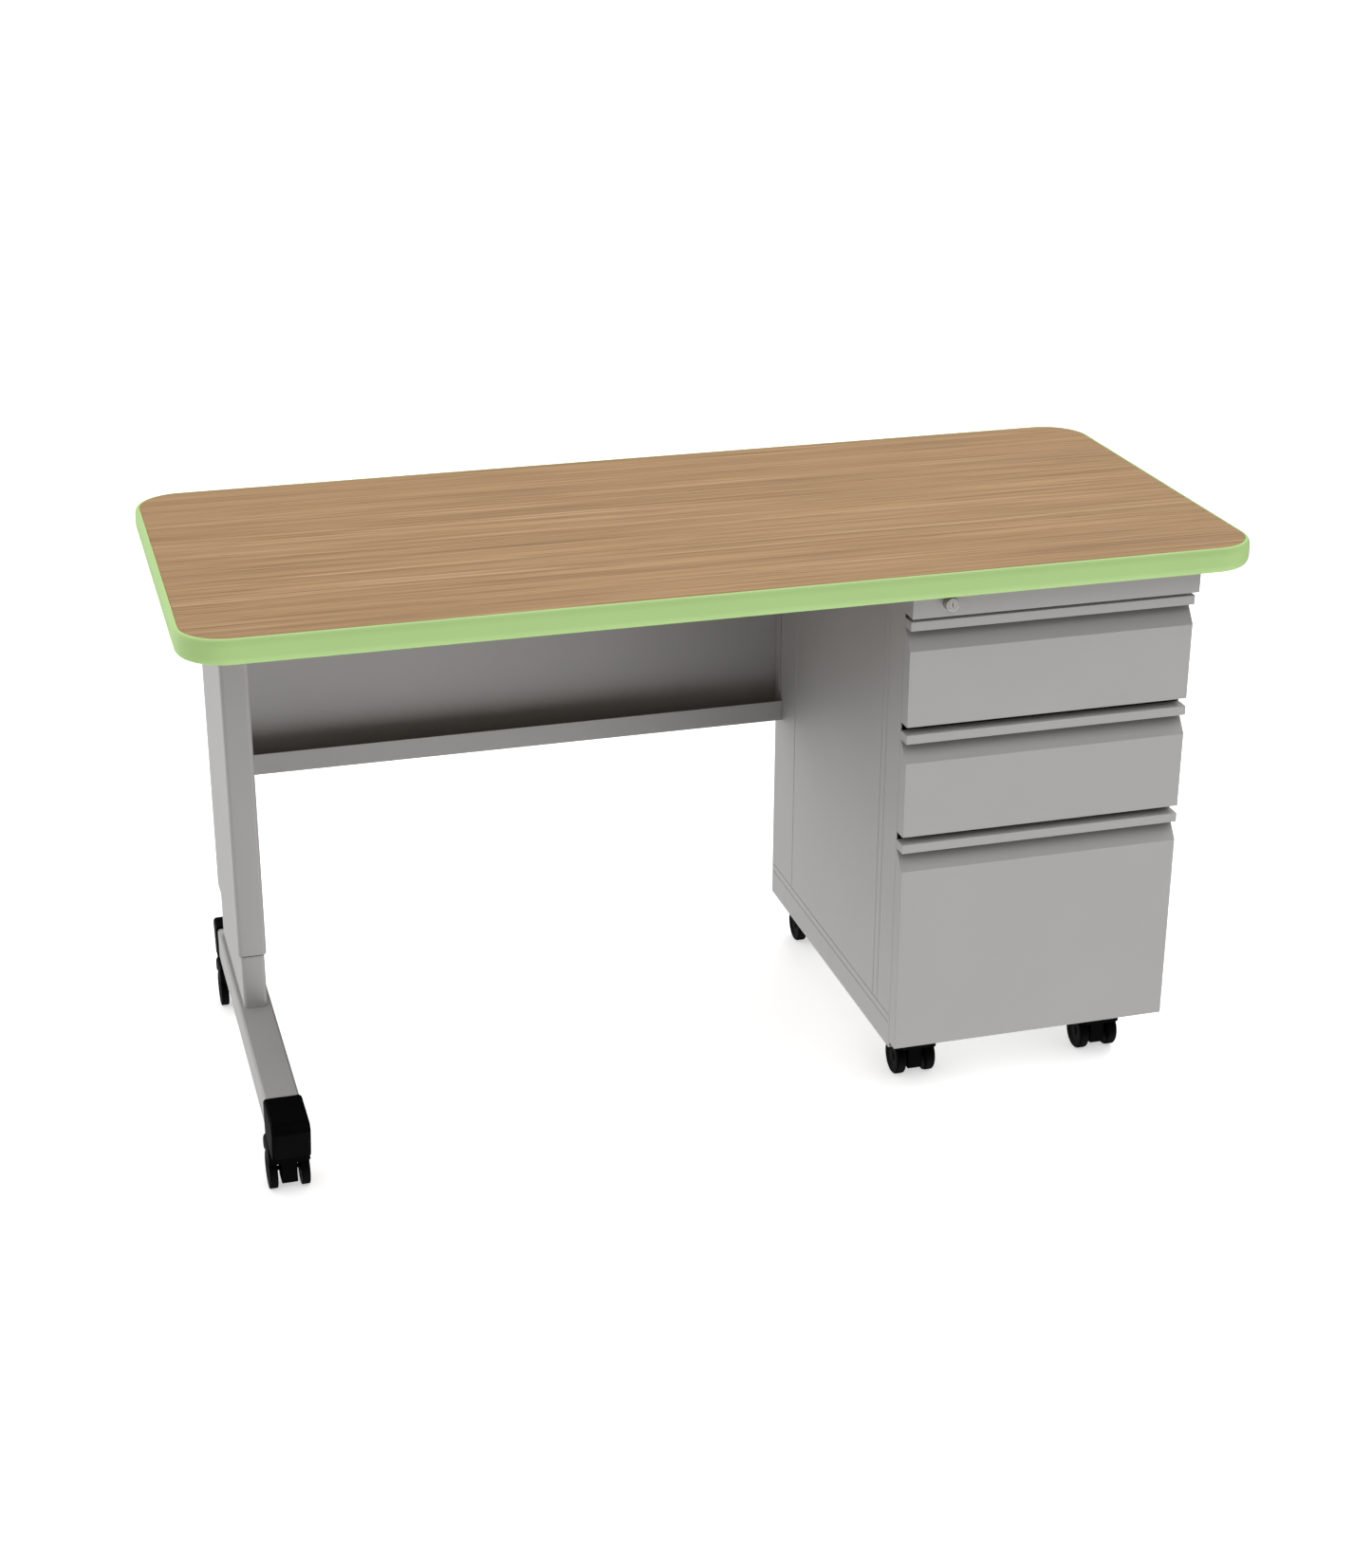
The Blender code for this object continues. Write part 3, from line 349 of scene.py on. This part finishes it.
def zinc_material():
    """Bright zinc plate with rolling lines and a faint passivated cloudiness."""
    n = Finish("zinc_plate", ZINC, 0.34, 0.5, 1.0)
    rolled = n.noise(1.0, 3, 0.6, n.stretched((60.0, 6.0, 900.0)))
    cloud = n.noise(45.0, 3)
    low, high = (tuple(c * share for c in ZINC) for share in (0.93, 1.07))
    tint = n.ramp(cloud, [(0.3, low), (0.7, high)])
    return n.finish(tint, n.span(rolled, 0.26, 0.44), n.bump(rolled, 0.10, 0.00006))


def nickel_material():
    """Satin nickel plate of the lock."""
    n = Finish("satin_nickel", NICKEL, 0.42, 0.3, 0.3)
    fine = n.noise(1500.0, 2, 0.5)
    cloud = n.noise(180.0, 2)
    low, high = (tuple(c * share for c in NICKEL) for share in (0.96, 1.04))
    tint = n.ramp(cloud, [(0.3, low), (0.7, high)])
    return n.finish(tint, n.span(fine, 0.38, 0.48), n.bump(fine, 0.06, 0.00004))


def plastic_material():
    """Moulded black nylon with a fine spark-eroded texture."""
    n = Finish("black_nylon", BLACK, 0.5, 0.01)
    grain = n.noise(1400.0, 2, 0.5)
    cloud = n.noise(30.0, 2)
    low, high = (tuple(c * share for c in BLACK) for share in (0.9, 1.15))
    tint = n.ramp(cloud, [(0.3, low), (0.7, high)])
    return n.finish(tint, n.span(grain, 0.44, 0.58), n.bump(grain, 0.18, 0.00008))


def rubber_material():
    """Tread of the wheels, duller than their hoods."""
    n = Finish("black_tread", RUBBER, 0.66, 0.03)
    grain = n.noise(900.0, 3, 0.6)
    low, high = (tuple(c * share for c in RUBBER) for share in (0.85, 1.25))
    tint = n.ramp(grain, [(0.35, low), (0.7, high)])
    return n.finish(tint, n.span(grain, 0.58, 0.76), n.bump(grain, 0.25, 0.00010))


def floor_material():
    """A lit white table, which keeps the object's shadow faint."""
    n = Finish("pale_floor", FLOOR_WHITE, 0.9, 0.0)
    n.shader.inputs["Emission Color"].default_value = FULL_WHITE
    n.shader.inputs["Emission Strength"].default_value = FLOOR_GLOW
    return n.finish(n.ramp(n.noise(2.0, 2), FLOOR_MOTTLE))


MATERIALS = {
    "worktop_laminate": laminate_material(),
    "board_core": backer_material(),
    "edge_band": band_material(),
    "grey_steel": steel_material(),
    "zinc_steel": zinc_material(),
    "lock_metal": nickel_material(),
    "black_plastic": plastic_material(),
    "wheel_rubber": rubber_material(),
}


# Mesh building blocks -----------------------------------------------------------------------------


def arc(centre, radius, start, end, steps=ARC_STEPS):
    """Points of an arc, angles in degrees, both ends included. radius may be one for each axis."""
    across, up = radius if isinstance(radius, tuple) else (radius, radius)
    turns = [math.radians(start + (end - start) * i / steps) for i in range(steps + 1)]
    return [(centre[0] + across * math.cos(t), centre[1] + up * math.sin(t)) for t in turns]


def add_rings(shape, rings, closed=False):
    """Skins a list of rings of points. A closed list joins up; the ends of another are capped."""
    made = [[shape.verts.new(p) for p in ring] for ring in rings]
    pairs = list(zip(made, made[1:])) + ([(made[-1], made[0])] if closed else [])
    for lower, upper in pairs:
        for i in range(len(lower)):
            j = (i + 1) % len(lower)
            shape.faces.new((lower[i], lower[j], upper[j], upper[i]))
    if not closed:
        shape.faces.new(made[0][::-1])
        shape.faces.new(made[-1])


def along(axis, a, b, depth):
    """The point at a and b on the two axes across axis, in X, Y, Z order."""
    return {"x": (depth, a, b), "y": (a, depth, b), "z": (a, b, depth)}[axis]


def add_turned(shape, profile, centre, axis, steps=WHEEL_STEPS):
    """A solid turned about an axis. profile holds (radius, depth), or a function of the turn as radius."""
    turns = [2 * math.pi * (i + 0.5) / steps for i in range(steps)]
    rings = []
    for radius, depth in profile:
        reaches = [radius(t) if callable(radius) else radius for t in turns]
        points = [along(axis, r * math.cos(t), r * math.sin(t), depth) for r, t in zip(reaches, turns)]
        rings.append([[c + p for c, p in zip(centre, point)] for point in points])
    add_rings(shape, rings)


def hexagon(radius):
    """The reach of a hexagon's outline at each turn."""
    part = math.pi / 6
    return lambda turn: radius * math.cos(part) / math.cos(turn % (2 * part) - part)


def slot_outline(width, height):
    """The reach of a rectangle's outline at each turn."""
    return lambda turn: min(width / 2 / abs(math.cos(turn)), height / 2 / abs(math.sin(turn)))


def inset(outline, amounts):
    """The outline, which runs anticlockwise, with each edge moved inwards by its own amount."""
    lines = []
    for (ax, ay), (bx, by), amount in zip(outline, outline[1:] + outline[:1], amounts):
        length = math.hypot(bx - ax, by - ay)
        nx, ny = (ay - by) / length, (bx - ax) / length
        lines.append((nx, ny, nx * ax + ny * ay + amount))
    points = []
    for (x1, y1, c1), (x2, y2, c2) in zip(lines[-1:] + lines[:-1], lines):
        det = x1 * y2 - y1 * x2
        points.append(((c1 * y2 - y1 * c2) / det, (x1 * c2 - c1 * x2) / det))
    return points


def add_pillow(shape, outline, keep, low, high, radius):
    """A Y-Z outline pulled along X, its sides rounded over at the edges whose middle keep() accepts."""
    following = outline[1:] + outline[:1]
    if sum(a[0] * b[1] - b[0] * a[1] for a, b in zip(outline, following)) < 0:
        outline = outline[::-1]
        following = outline[1:] + outline[:1]
    marks = [keep((a[0] + b[0]) / 2, (a[1] + b[1]) / 2) for a, b in zip(outline, following)]
    quarter = [math.pi / 2 * i / ARC_STEPS for i in range(ARC_STEPS + 1)]
    depths = [(low + radius * (1 - math.sin(t)), radius * (1 - math.cos(t))) for t in quarter[::-1]]
    depths += [(low + high - x, amount) for x, amount in depths[::-1]]
    rings = []
    for x, amount in depths:
        line = inset(outline, [amount if mark else 0.0 for mark in marks])
        rings.append([(x, y, z) for y, z in line])
    add_rings(shape, rings)


def free_piece(name, shape, body, slot):
    """Makes a shape into a piece that rides with a body."""
    bmesh.ops.recalc_face_normals(shape, faces=shape.faces)
    mesh = bpy.data.meshes.new(name)
    shape.to_mesh(mesh)
    shape.free()
    mesh.shade_smooth()
    mesh.set_sharp_from_angle(angle=math.radians(SHARP_ANGLE))
    mesh.materials.append(MATERIALS[slot])
    made = bpy.data.objects.new(name, mesh)
    bpy.context.scene.collection.objects.link(made)
    normals = made.modifiers.new("even_shading", "WEIGHTED_NORMAL")
    normals.keep_sharp = True
    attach(made, body)
    return made


def piece(name, shape, node):
    """Makes a shape into a piece that takes a CAD node's place."""
    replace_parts(free_piece(name, shape, body_of[node], slots[node]), node)


# Pieces, nearly all in the place of a CAD node ----------------------------------------------------


def rounded_ring(left, right, front, back, radius, height):
    """A level rounded rectangle."""
    left, right, front, back = left + radius, right - radius, front + radius, back - radius
    points = []
    for i, centre in enumerate(((right, back), (left, back), (left, front), (right, front))):
        points += arc(centre, radius, 90 * i, 90 * i + 90, CORNER_STEPS)
    return [(x, y, height) for x, y in points]


def worktop_ring(setback, height):
    """The worktop's outline, set back from its edge."""
    low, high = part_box("edge_band")
    sides = (low[0] + setback, high[0] - setback, low[1] + setback, high[1] - setback)
    return rounded_ring(*sides, TOP_CORNER - setback, height)


def make_band():
    """The moulded edge, with a flat middle, rounded shoulders and a groove beside the laminate."""
    bottom, top = (corner[2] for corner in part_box("edge_band"))
    across, up = BAND_ROUND
    profile = [(BAND_DEPTH, bottom)]
    profile += arc((across, bottom + up), BAND_ROUND, 270, 180)
    profile += arc((across, top - up), BAND_ROUND, 180, 90)
    profile += [(BAND_DEPTH - BAND_SEAM, top), (BAND_DEPTH, top - BAND_SEAM)]
    shape = bmesh.new()
    add_rings(shape, [worktop_ring(setback, z) for setback, z in profile], closed=True)
    piece("edge_band_moulding", shape, "edge_band")


def make_laminate():
    """The laminate sheet, inside the band, with a softened upper edge."""
    low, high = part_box("worktop_laminate")
    setback = low[0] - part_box("edge_band")[0][0]
    profile = [
        (setback, low[2]),
        (setback, high[2] - LAMINATE_SOFT),
        (setback + LAMINATE_SOFT, high[2]),
    ]
    shape = bmesh.new()
    add_rings(shape, [worktop_ring(inward, z) for inward, z in profile])
    piece("worktop_laminate_sheet", shape, "worktop_laminate")


def make_side(node):
    """A side panel of the pedestal with pressed seams in its outer face."""
    low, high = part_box(node)
    outer, inner = (low[0], high[0]) if node.endswith("left") else (high[0], low[0])
    inward = math.copysign(SEAM_DEPTH, inner - outer)
    half = SEAM_WIDTH / 2
    ends = (low[1] + SEAM_STOP, high[1] - SEAM_STOP)
    seam_low = max(FOOT_SEAMS) + half + SEAM_STEP
    seam_high = high[2] - SEAM_STOP
    middle = (seam_low + seam_high) / 2
    lines_y = [low[1], ends[0], ends[0] + half, ends[1] - half, ends[1], high[1]]
    lines_y += [y + d for y in UPRIGHT_SEAMS for d in (-half, 0.0, half)]
    lines_y.sort()
    lines_z = [low[2], seam_low, seam_low + half, middle, seam_high - half, seam_high, high[2]]
    lines_z += [z + d for z in FOOT_SEAMS for d in (-half, 0.0, half)]
    lines_z.sort()

    def depth(y, z):
        upright = y in UPRIGHT_SEAMS and seam_low < z < seam_high
        foot = z in FOOT_SEAMS and ends[0] < y < ends[1]
        return inward if upright or foot else 0.0

    shape = bmesh.new()
    face = [[shape.verts.new((outer + depth(y, z), y, z)) for z in lines_z] for y in lines_y]
    back = [[shape.verts.new((inner, y, z)) for z in lines_z] for y in lines_y]
    for grid in (face, back):
        for row, following in zip(grid, grid[1:]):
            for k in range(len(lines_z) - 1):
                shape.faces.new((row[k], row[k + 1], following[k + 1], following[k]))
    for j in (0, -1):
        for k in range(len(lines_z) - 1):
            shape.faces.new((face[j][k], face[j][k + 1], back[j][k + 1], back[j][k]))
    for k in (0, -1):
        for j in range(len(lines_y) - 1):
            shape.faces.new((face[j][k], face[j + 1][k], back[j + 1][k], back[j][k]))
    piece(f"{node}_pressed", shape, node)


def make_drawer_front(name):
    """A folded front: a flat face, a sloping finger recess and a square lip, with soft folds."""
    node = f"drawer_front_{name}"
    low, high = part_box(node)
    face, back = low[1], high[1]
    lip = high[2] - LIP_HEIGHT
    outline = [
        (face, low[2]),
        (back, low[2]),
        (back, high[2]),
        (face, high[2]),
        (face, lip),
        (back - RECESS_WALL, lip),
        (face, lip - RECESS_HEIGHT[name]),
    ]
    shape = bmesh.new()
    add_pillow(shape, outline, lambda y, z: y < face + TINY, low[0], high[0], FOLD_ROUND)
    piece(f"{node}_folded", shape, node)


def make_glide_shadow_line():
    """A black plastic glide, as such legs have, where the inner column leaves the sleeve; its dark line is
    partly painted shadow, standing for the shadow under the sleeve's step.
    """
    low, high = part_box("leg_sleeve")
    column_low, column_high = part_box("leg_inner_column")
    shape = bmesh.new()
    rings = []
    for grow, drop in ((0.0, 0.0), (GLIDE_PROUD, 0.0), (GLIDE_PROUD, GLIDE_HEIGHT), (0.0, GLIDE_HEIGHT)):
        sides = [column_low[0] - grow, column_high[0] + grow, column_low[1] - grow, column_high[1] + grow]
        rings.append(rounded_ring(*sides, COLUMN_CORNER + grow, low[2] - drop))
    add_rings(shape, rings, closed=True)
    # Black plastic: partly a real glide, partly painted shadow of the sleeve's step.
    free_piece("leg_glide_shadow_line", shape, "desk", "black_plastic")


def make_foot_cap(node):
    """A moulded cap with a rounded nose and soft sides over the end of the foot bar."""
    low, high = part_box(node)
    side = 1 if high[1] > 0 else -1
    tip, joint = (high[1], low[1]) if side > 0 else (low[1], high[1])
    nose = arc((tip - side * CAP_NOSE, high[2] - CAP_NOSE), (side * CAP_NOSE, CAP_NOSE), 90, 0, CORNER_STEPS)
    outline = [*nose, (tip - side * CAP_RAKE, low[2]), (joint, low[2]), (joint, high[2])]
    shape = bmesh.new()

    def outside(y, z):
        return z > low[2] + TINY and abs(y - joint) > TINY

    add_pillow(shape, outline, outside, low[0], high[0], CAP_ROUND)
    piece(f"{node}_moulding", shape, node)


def make_caster_body(name):
    """The hood over both wheels, the hub between them and the axle."""
    node = f"caster_{name}_body"
    low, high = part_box(node)
    middle = (low[0] + high[0]) / 2
    wheel_low, wheel_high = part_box(f"caster_{name}_wheel_left")
    axle = ((wheel_low[1] + wheel_high[1]) / 2, (wheel_low[2] + wheel_high[2]) / 2)
    arch = (wheel_high[2] - wheel_low[2]) / 2 + HOOD_CLEARANCE
    reach = math.degrees(math.asin((HOOD_EDGE - axle[1]) / arch))
    front, back, top = low[1], high[1], high[2]
    hood = [(front, HOOD_EDGE)]
    hood += arc((front + HOOD_SHOULDER, top - HOOD_SHOULDER), HOOD_SHOULDER, 180, 90)
    hood += arc((back - HOOD_SLOPE, top - HOOD_SLOPE), HOOD_SLOPE, 90, 0)
    hood += [(back, HOOD_EDGE), *arc(axle, arch, reach, 180 - reach, CORNER_STEPS)]
    shape = bmesh.new()

    def outside(y, z):
        return z > HOOD_EDGE and math.hypot(y - axle[0], z - axle[1]) > arch + TINY

    add_pillow(shape, hood, outside, low[0], high[0], HOOD_ROUND)
    hub_front = axle[0] - HUB_FRONT - CASTER_TRAIL
    hub = [(hub_front, HUB_TOP), (hub_front, low[2])]
    hub += arc(axle, HUB_RADIUS, 270, 360, CORNER_STEPS)
    hub += [(axle[0] + HUB_RADIUS, HUB_TOP)]
    add_pillow(shape, hub, lambda y, z: z < HUB_TOP - TINY, middle - HUB_HALF, middle + HUB_HALF, HUB_ROUND)
    inner = middle - wheel_high[0] - AXLE_PLAY
    add_turned(shape, [(AXLE_RADIUS, -inner), (AXLE_RADIUS, inner)], (middle, *axle), "x")
    piece(f"{node}_moulding", shape, node)


def make_wheel(node, outward):
    """A wheel with a hub cap, a dished web, a fine tyre line and a rounded tread."""
    low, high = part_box(node)
    centre = [(a + b) / 2 for a, b in zip(low, high)]
    half = (high[0] - low[0]) / 2
    rim = (high[2] - low[2]) / 2
    soft = TREAD_ROUND["leg" if node.startswith("caster_leg") else "pedestal"]
    profile = [(r, half - sunk) for r, sunk in WHEEL_FACE]
    profile += [(r, d) for d, r in arc((half - soft, rim - soft), soft, 0, 90)]
    profile += [(r, d) for d, r in arc((soft - half, rim - soft), soft, 90, 180)]
    profile += [(r, sunk - half) for r, sunk in WHEEL_BACK]
    shape = bmesh.new()
    add_turned(shape, [(r, outward * d) for r, d in profile], centre, "x")
    piece(f"{node}_turned", shape, node)


def make_swivel_plate(node):
    """A turned swivel plate with its ball race and kingpin."""
    low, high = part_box(node)
    middle = [(a + b) / 2 for a, b in zip(low, high)]
    outer = (high[0] - low[0]) / 2
    plate = high[2] - SWIVEL_HEIGHT
    neck, dish, edge = (plate + rise for rise in SWIVEL_RISE)
    profile = [(STEM_RADIUS, low[2]), (STEM_RADIUS, plate), (SWIVEL_NECK, plate)]
    profile += [(SWIVEL_NECK, neck), (outer - SWIVEL_SOFT, dish), (outer, edge), (outer, high[2])]
    shape = bmesh.new()
    add_turned(shape, profile, (middle[0], middle[1], 0.0), "z")
    piece(f"{node}_turned", shape, node)


def make_screw(node):
    """A button-head screw with a hexagon socket."""
    low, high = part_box(node)
    middle = [(a + b) / 2 for a, b in zip(low, high)]
    head = (high[2] - low[2]) / 2
    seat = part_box("leg_sleeve")[1][0]
    tall = high[0] - seat
    socket, depth = SOCKET
    dome = arc((0.0, seat), (head, tall), 0, SCREW_DOME)
    profile = [(SCREW_SHANK, low[0]), (SCREW_SHANK, seat), *dome]
    profile += [(hexagon(socket), dome[-1][1]), (hexagon(socket), dome[-1][1] - depth)]
    shape = bmesh.new()
    add_turned(shape, profile, (0.0, middle[1], middle[2]), "x")
    piece(f"{node}_turned", shape, node)


def make_lock():
    """The barrel with a softened rim, the ring of its plug and the keyway."""
    low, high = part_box("lock_barrel")
    middle = [(a + b) / 2 for a, b in zip(low, high)]
    radius = (high[0] - low[0]) / 2
    width, height, depth = KEYWAY
    rim = arc((radius - LOCK_SOFT, low[1] + LOCK_SOFT), LOCK_SOFT, 0, -90)
    groove, sunk = PLUG_GROOVE
    profile = [(radius, high[1]), *rim, (PLUG_RADIUS, low[1])]
    profile += [(PLUG_RADIUS - groove / 2, low[1] + sunk), (PLUG_RADIUS - groove, low[1])]
    slot = slot_outline(width, height)
    profile += [(slot, low[1]), (slot, low[1] + depth)]
    shape = bmesh.new()
    add_turned(shape, profile, (middle[0], 0.0, middle[2]), "y", steps=2 * WHEEL_STEPS)
    piece("lock_barrel_turned", shape, "lock_barrel")


def dress(node):
    """Gives a CAD node its finish, and softens its hard edges by modifiers."""
    kept = frame["nodes"][node]
    kept.data.materials.clear()
    kept.data.materials.append(MATERIALS[slots[node]])
    custom = kept.data.attributes.get("custom_normal")
    if custom:
        kept.data.attributes.remove(custom)
    weld = kept.modifiers.new("weld", "WELD")
    weld.merge_threshold = WELD_REACH
    flat = kept.modifiers.new("merge_flat_faces", "DECIMATE")
    flat.decimate_type = "DISSOLVE"
    flat.angle_limit = math.radians(FLAT_ANGLE)
    bevel = kept.modifiers.new("soft_edges", "BEVEL")
    bevel.width = SOFT_EDGE
    bevel.segments = 2
    bevel.limit_method = "ANGLE"
    bevel.angle_limit = math.radians(SOFT_ANGLE)
    if any(part in node for part in ROUND_NODES):
        kept.data.shade_smooth()
        normals = kept.modifiers.new("even_shading", "WEIGHTED_NORMAL")
        normals.keep_sharp = True
    else:
        kept.data.shade_flat()


def make_pieces():
    """Builds every piece that stands in for a CAD node, and the glide, whose dark line is partly painted
    shadow.
    """
    make_band()
    make_laminate()
    make_lock()
    make_glide_shadow_line()
    for name in RECESS_HEIGHT:
        make_drawer_front(name)
    for side in ("left", "right"):
        make_side(f"pedestal_side_{side}")
    for end in ("front", "rear"):
        make_foot_cap(f"foot_cap_{end}")
    for height in ("lower", "upper"):
        make_screw(f"height_lock_screw_{height}")
    for body in frame["record"]["behaviour"]["bodies"]:
        if body.startswith("caster") and "wheel" not in body:
            name = body.removeprefix("caster_")
            make_caster_body(name)
            make_wheel(f"{body}_wheel_left", -1)
            make_wheel(f"{body}_wheel_right", 1)
            if "pedestal" in name:
                make_swivel_plate(f"{body}_stem")


# Camera, light and floor --------------------------------------------------------------------------


def make_camera():
    """A camera at eye height in front of the desk, a little to its left."""
    camera = bpy.data.objects.new("camera", bpy.data.cameras.new("camera"))
    camera.location = CAMERA_PLACE
    camera.rotation_euler = (math.radians(90 - CAMERA_PITCH), 0, math.radians(-CAMERA_YAW))
    camera.data.lens = CAMERA_LENS
    camera.data.shift_x, camera.data.shift_y = CAMERA_SHIFT
    bpy.context.scene.collection.objects.link(camera)
    bpy.context.scene.camera = camera


def make_world():
    """A gradient sky with a few broad soft boxes, behind a white backdrop."""
    world = bpy.data.worlds.new("studio")
    world.use_nodes = True
    sky = Tree(world.node_tree, "Generated")
    parts = sky.add("ShaderNodeSeparateXYZ")
    sky.join(sky.place, parts.inputs[0])
    height = sky.span(parts.outputs["Z"], 0.0, 1.0, start=-1.0)
    level = sky.ramp(height, [((sine + 1) / 2, value) for sine, value in SKY])
    for azimuth, elevation, width, strength in SOFT_BOXES:
        turn, rise = math.radians(azimuth), math.radians(elevation)
        towards = (-math.sin(turn) * math.cos(rise), -math.cos(turn) * math.cos(rise), math.sin(rise))
        facing = sky.add("ShaderNodeVectorMath", operation="DOT_PRODUCT")
        sky.join(sky.place, facing.inputs[0])
        facing.inputs[1].default_value = towards
        edge = math.cos(math.radians(width))
        glow = sky.span(facing.outputs["Value"], 0.0, strength, edge, 1.0, "SMOOTHSTEP")
        total = sky.add("ShaderNodeMath", operation="ADD")
        sky.join(level, total.inputs[0])
        sky.join(glow, total.inputs[1])
        level = total.outputs["Value"]
    backdrop = sky.add("ShaderNodeMath", operation="MAXIMUM")
    sky.join(sky.add("ShaderNodeLightPath").outputs["Is Camera Ray"], backdrop.inputs[0])
    sky.join(level, backdrop.inputs[1])
    background = world.node_tree.nodes["Background"]
    background.inputs["Color"].default_value = FULL_WHITE
    sky.join(backdrop.outputs["Value"], background.inputs["Strength"])
    bpy.context.scene.world = world


def make_floor():
    """A pale floor that takes shadows. The sky's lower half stands for the light that it returns."""
    corners = [(-1, -1), (1, -1), (1, 1), (-1, 1)]
    mesh = bpy.data.meshes.new("floor")
    mesh.from_pydata([(x * FLOOR_REACH, y * FLOOR_REACH, 0) for x, y in corners], [], [(0, 1, 2, 3)])
    mesh.materials.append(floor_material())
    floor = bpy.data.objects.new("floor", mesh)
    bpy.context.scene.collection.objects.link(floor)
    floor.visible_diffuse = False
    floor.visible_glossy = False
    floor.visible_shadow = False


for node_name in frame["nodes"]:
    dress(node_name)
make_pieces()
make_camera()
make_world()
make_floor()
bpy.context.scene.view_settings.view_transform = "Standard"
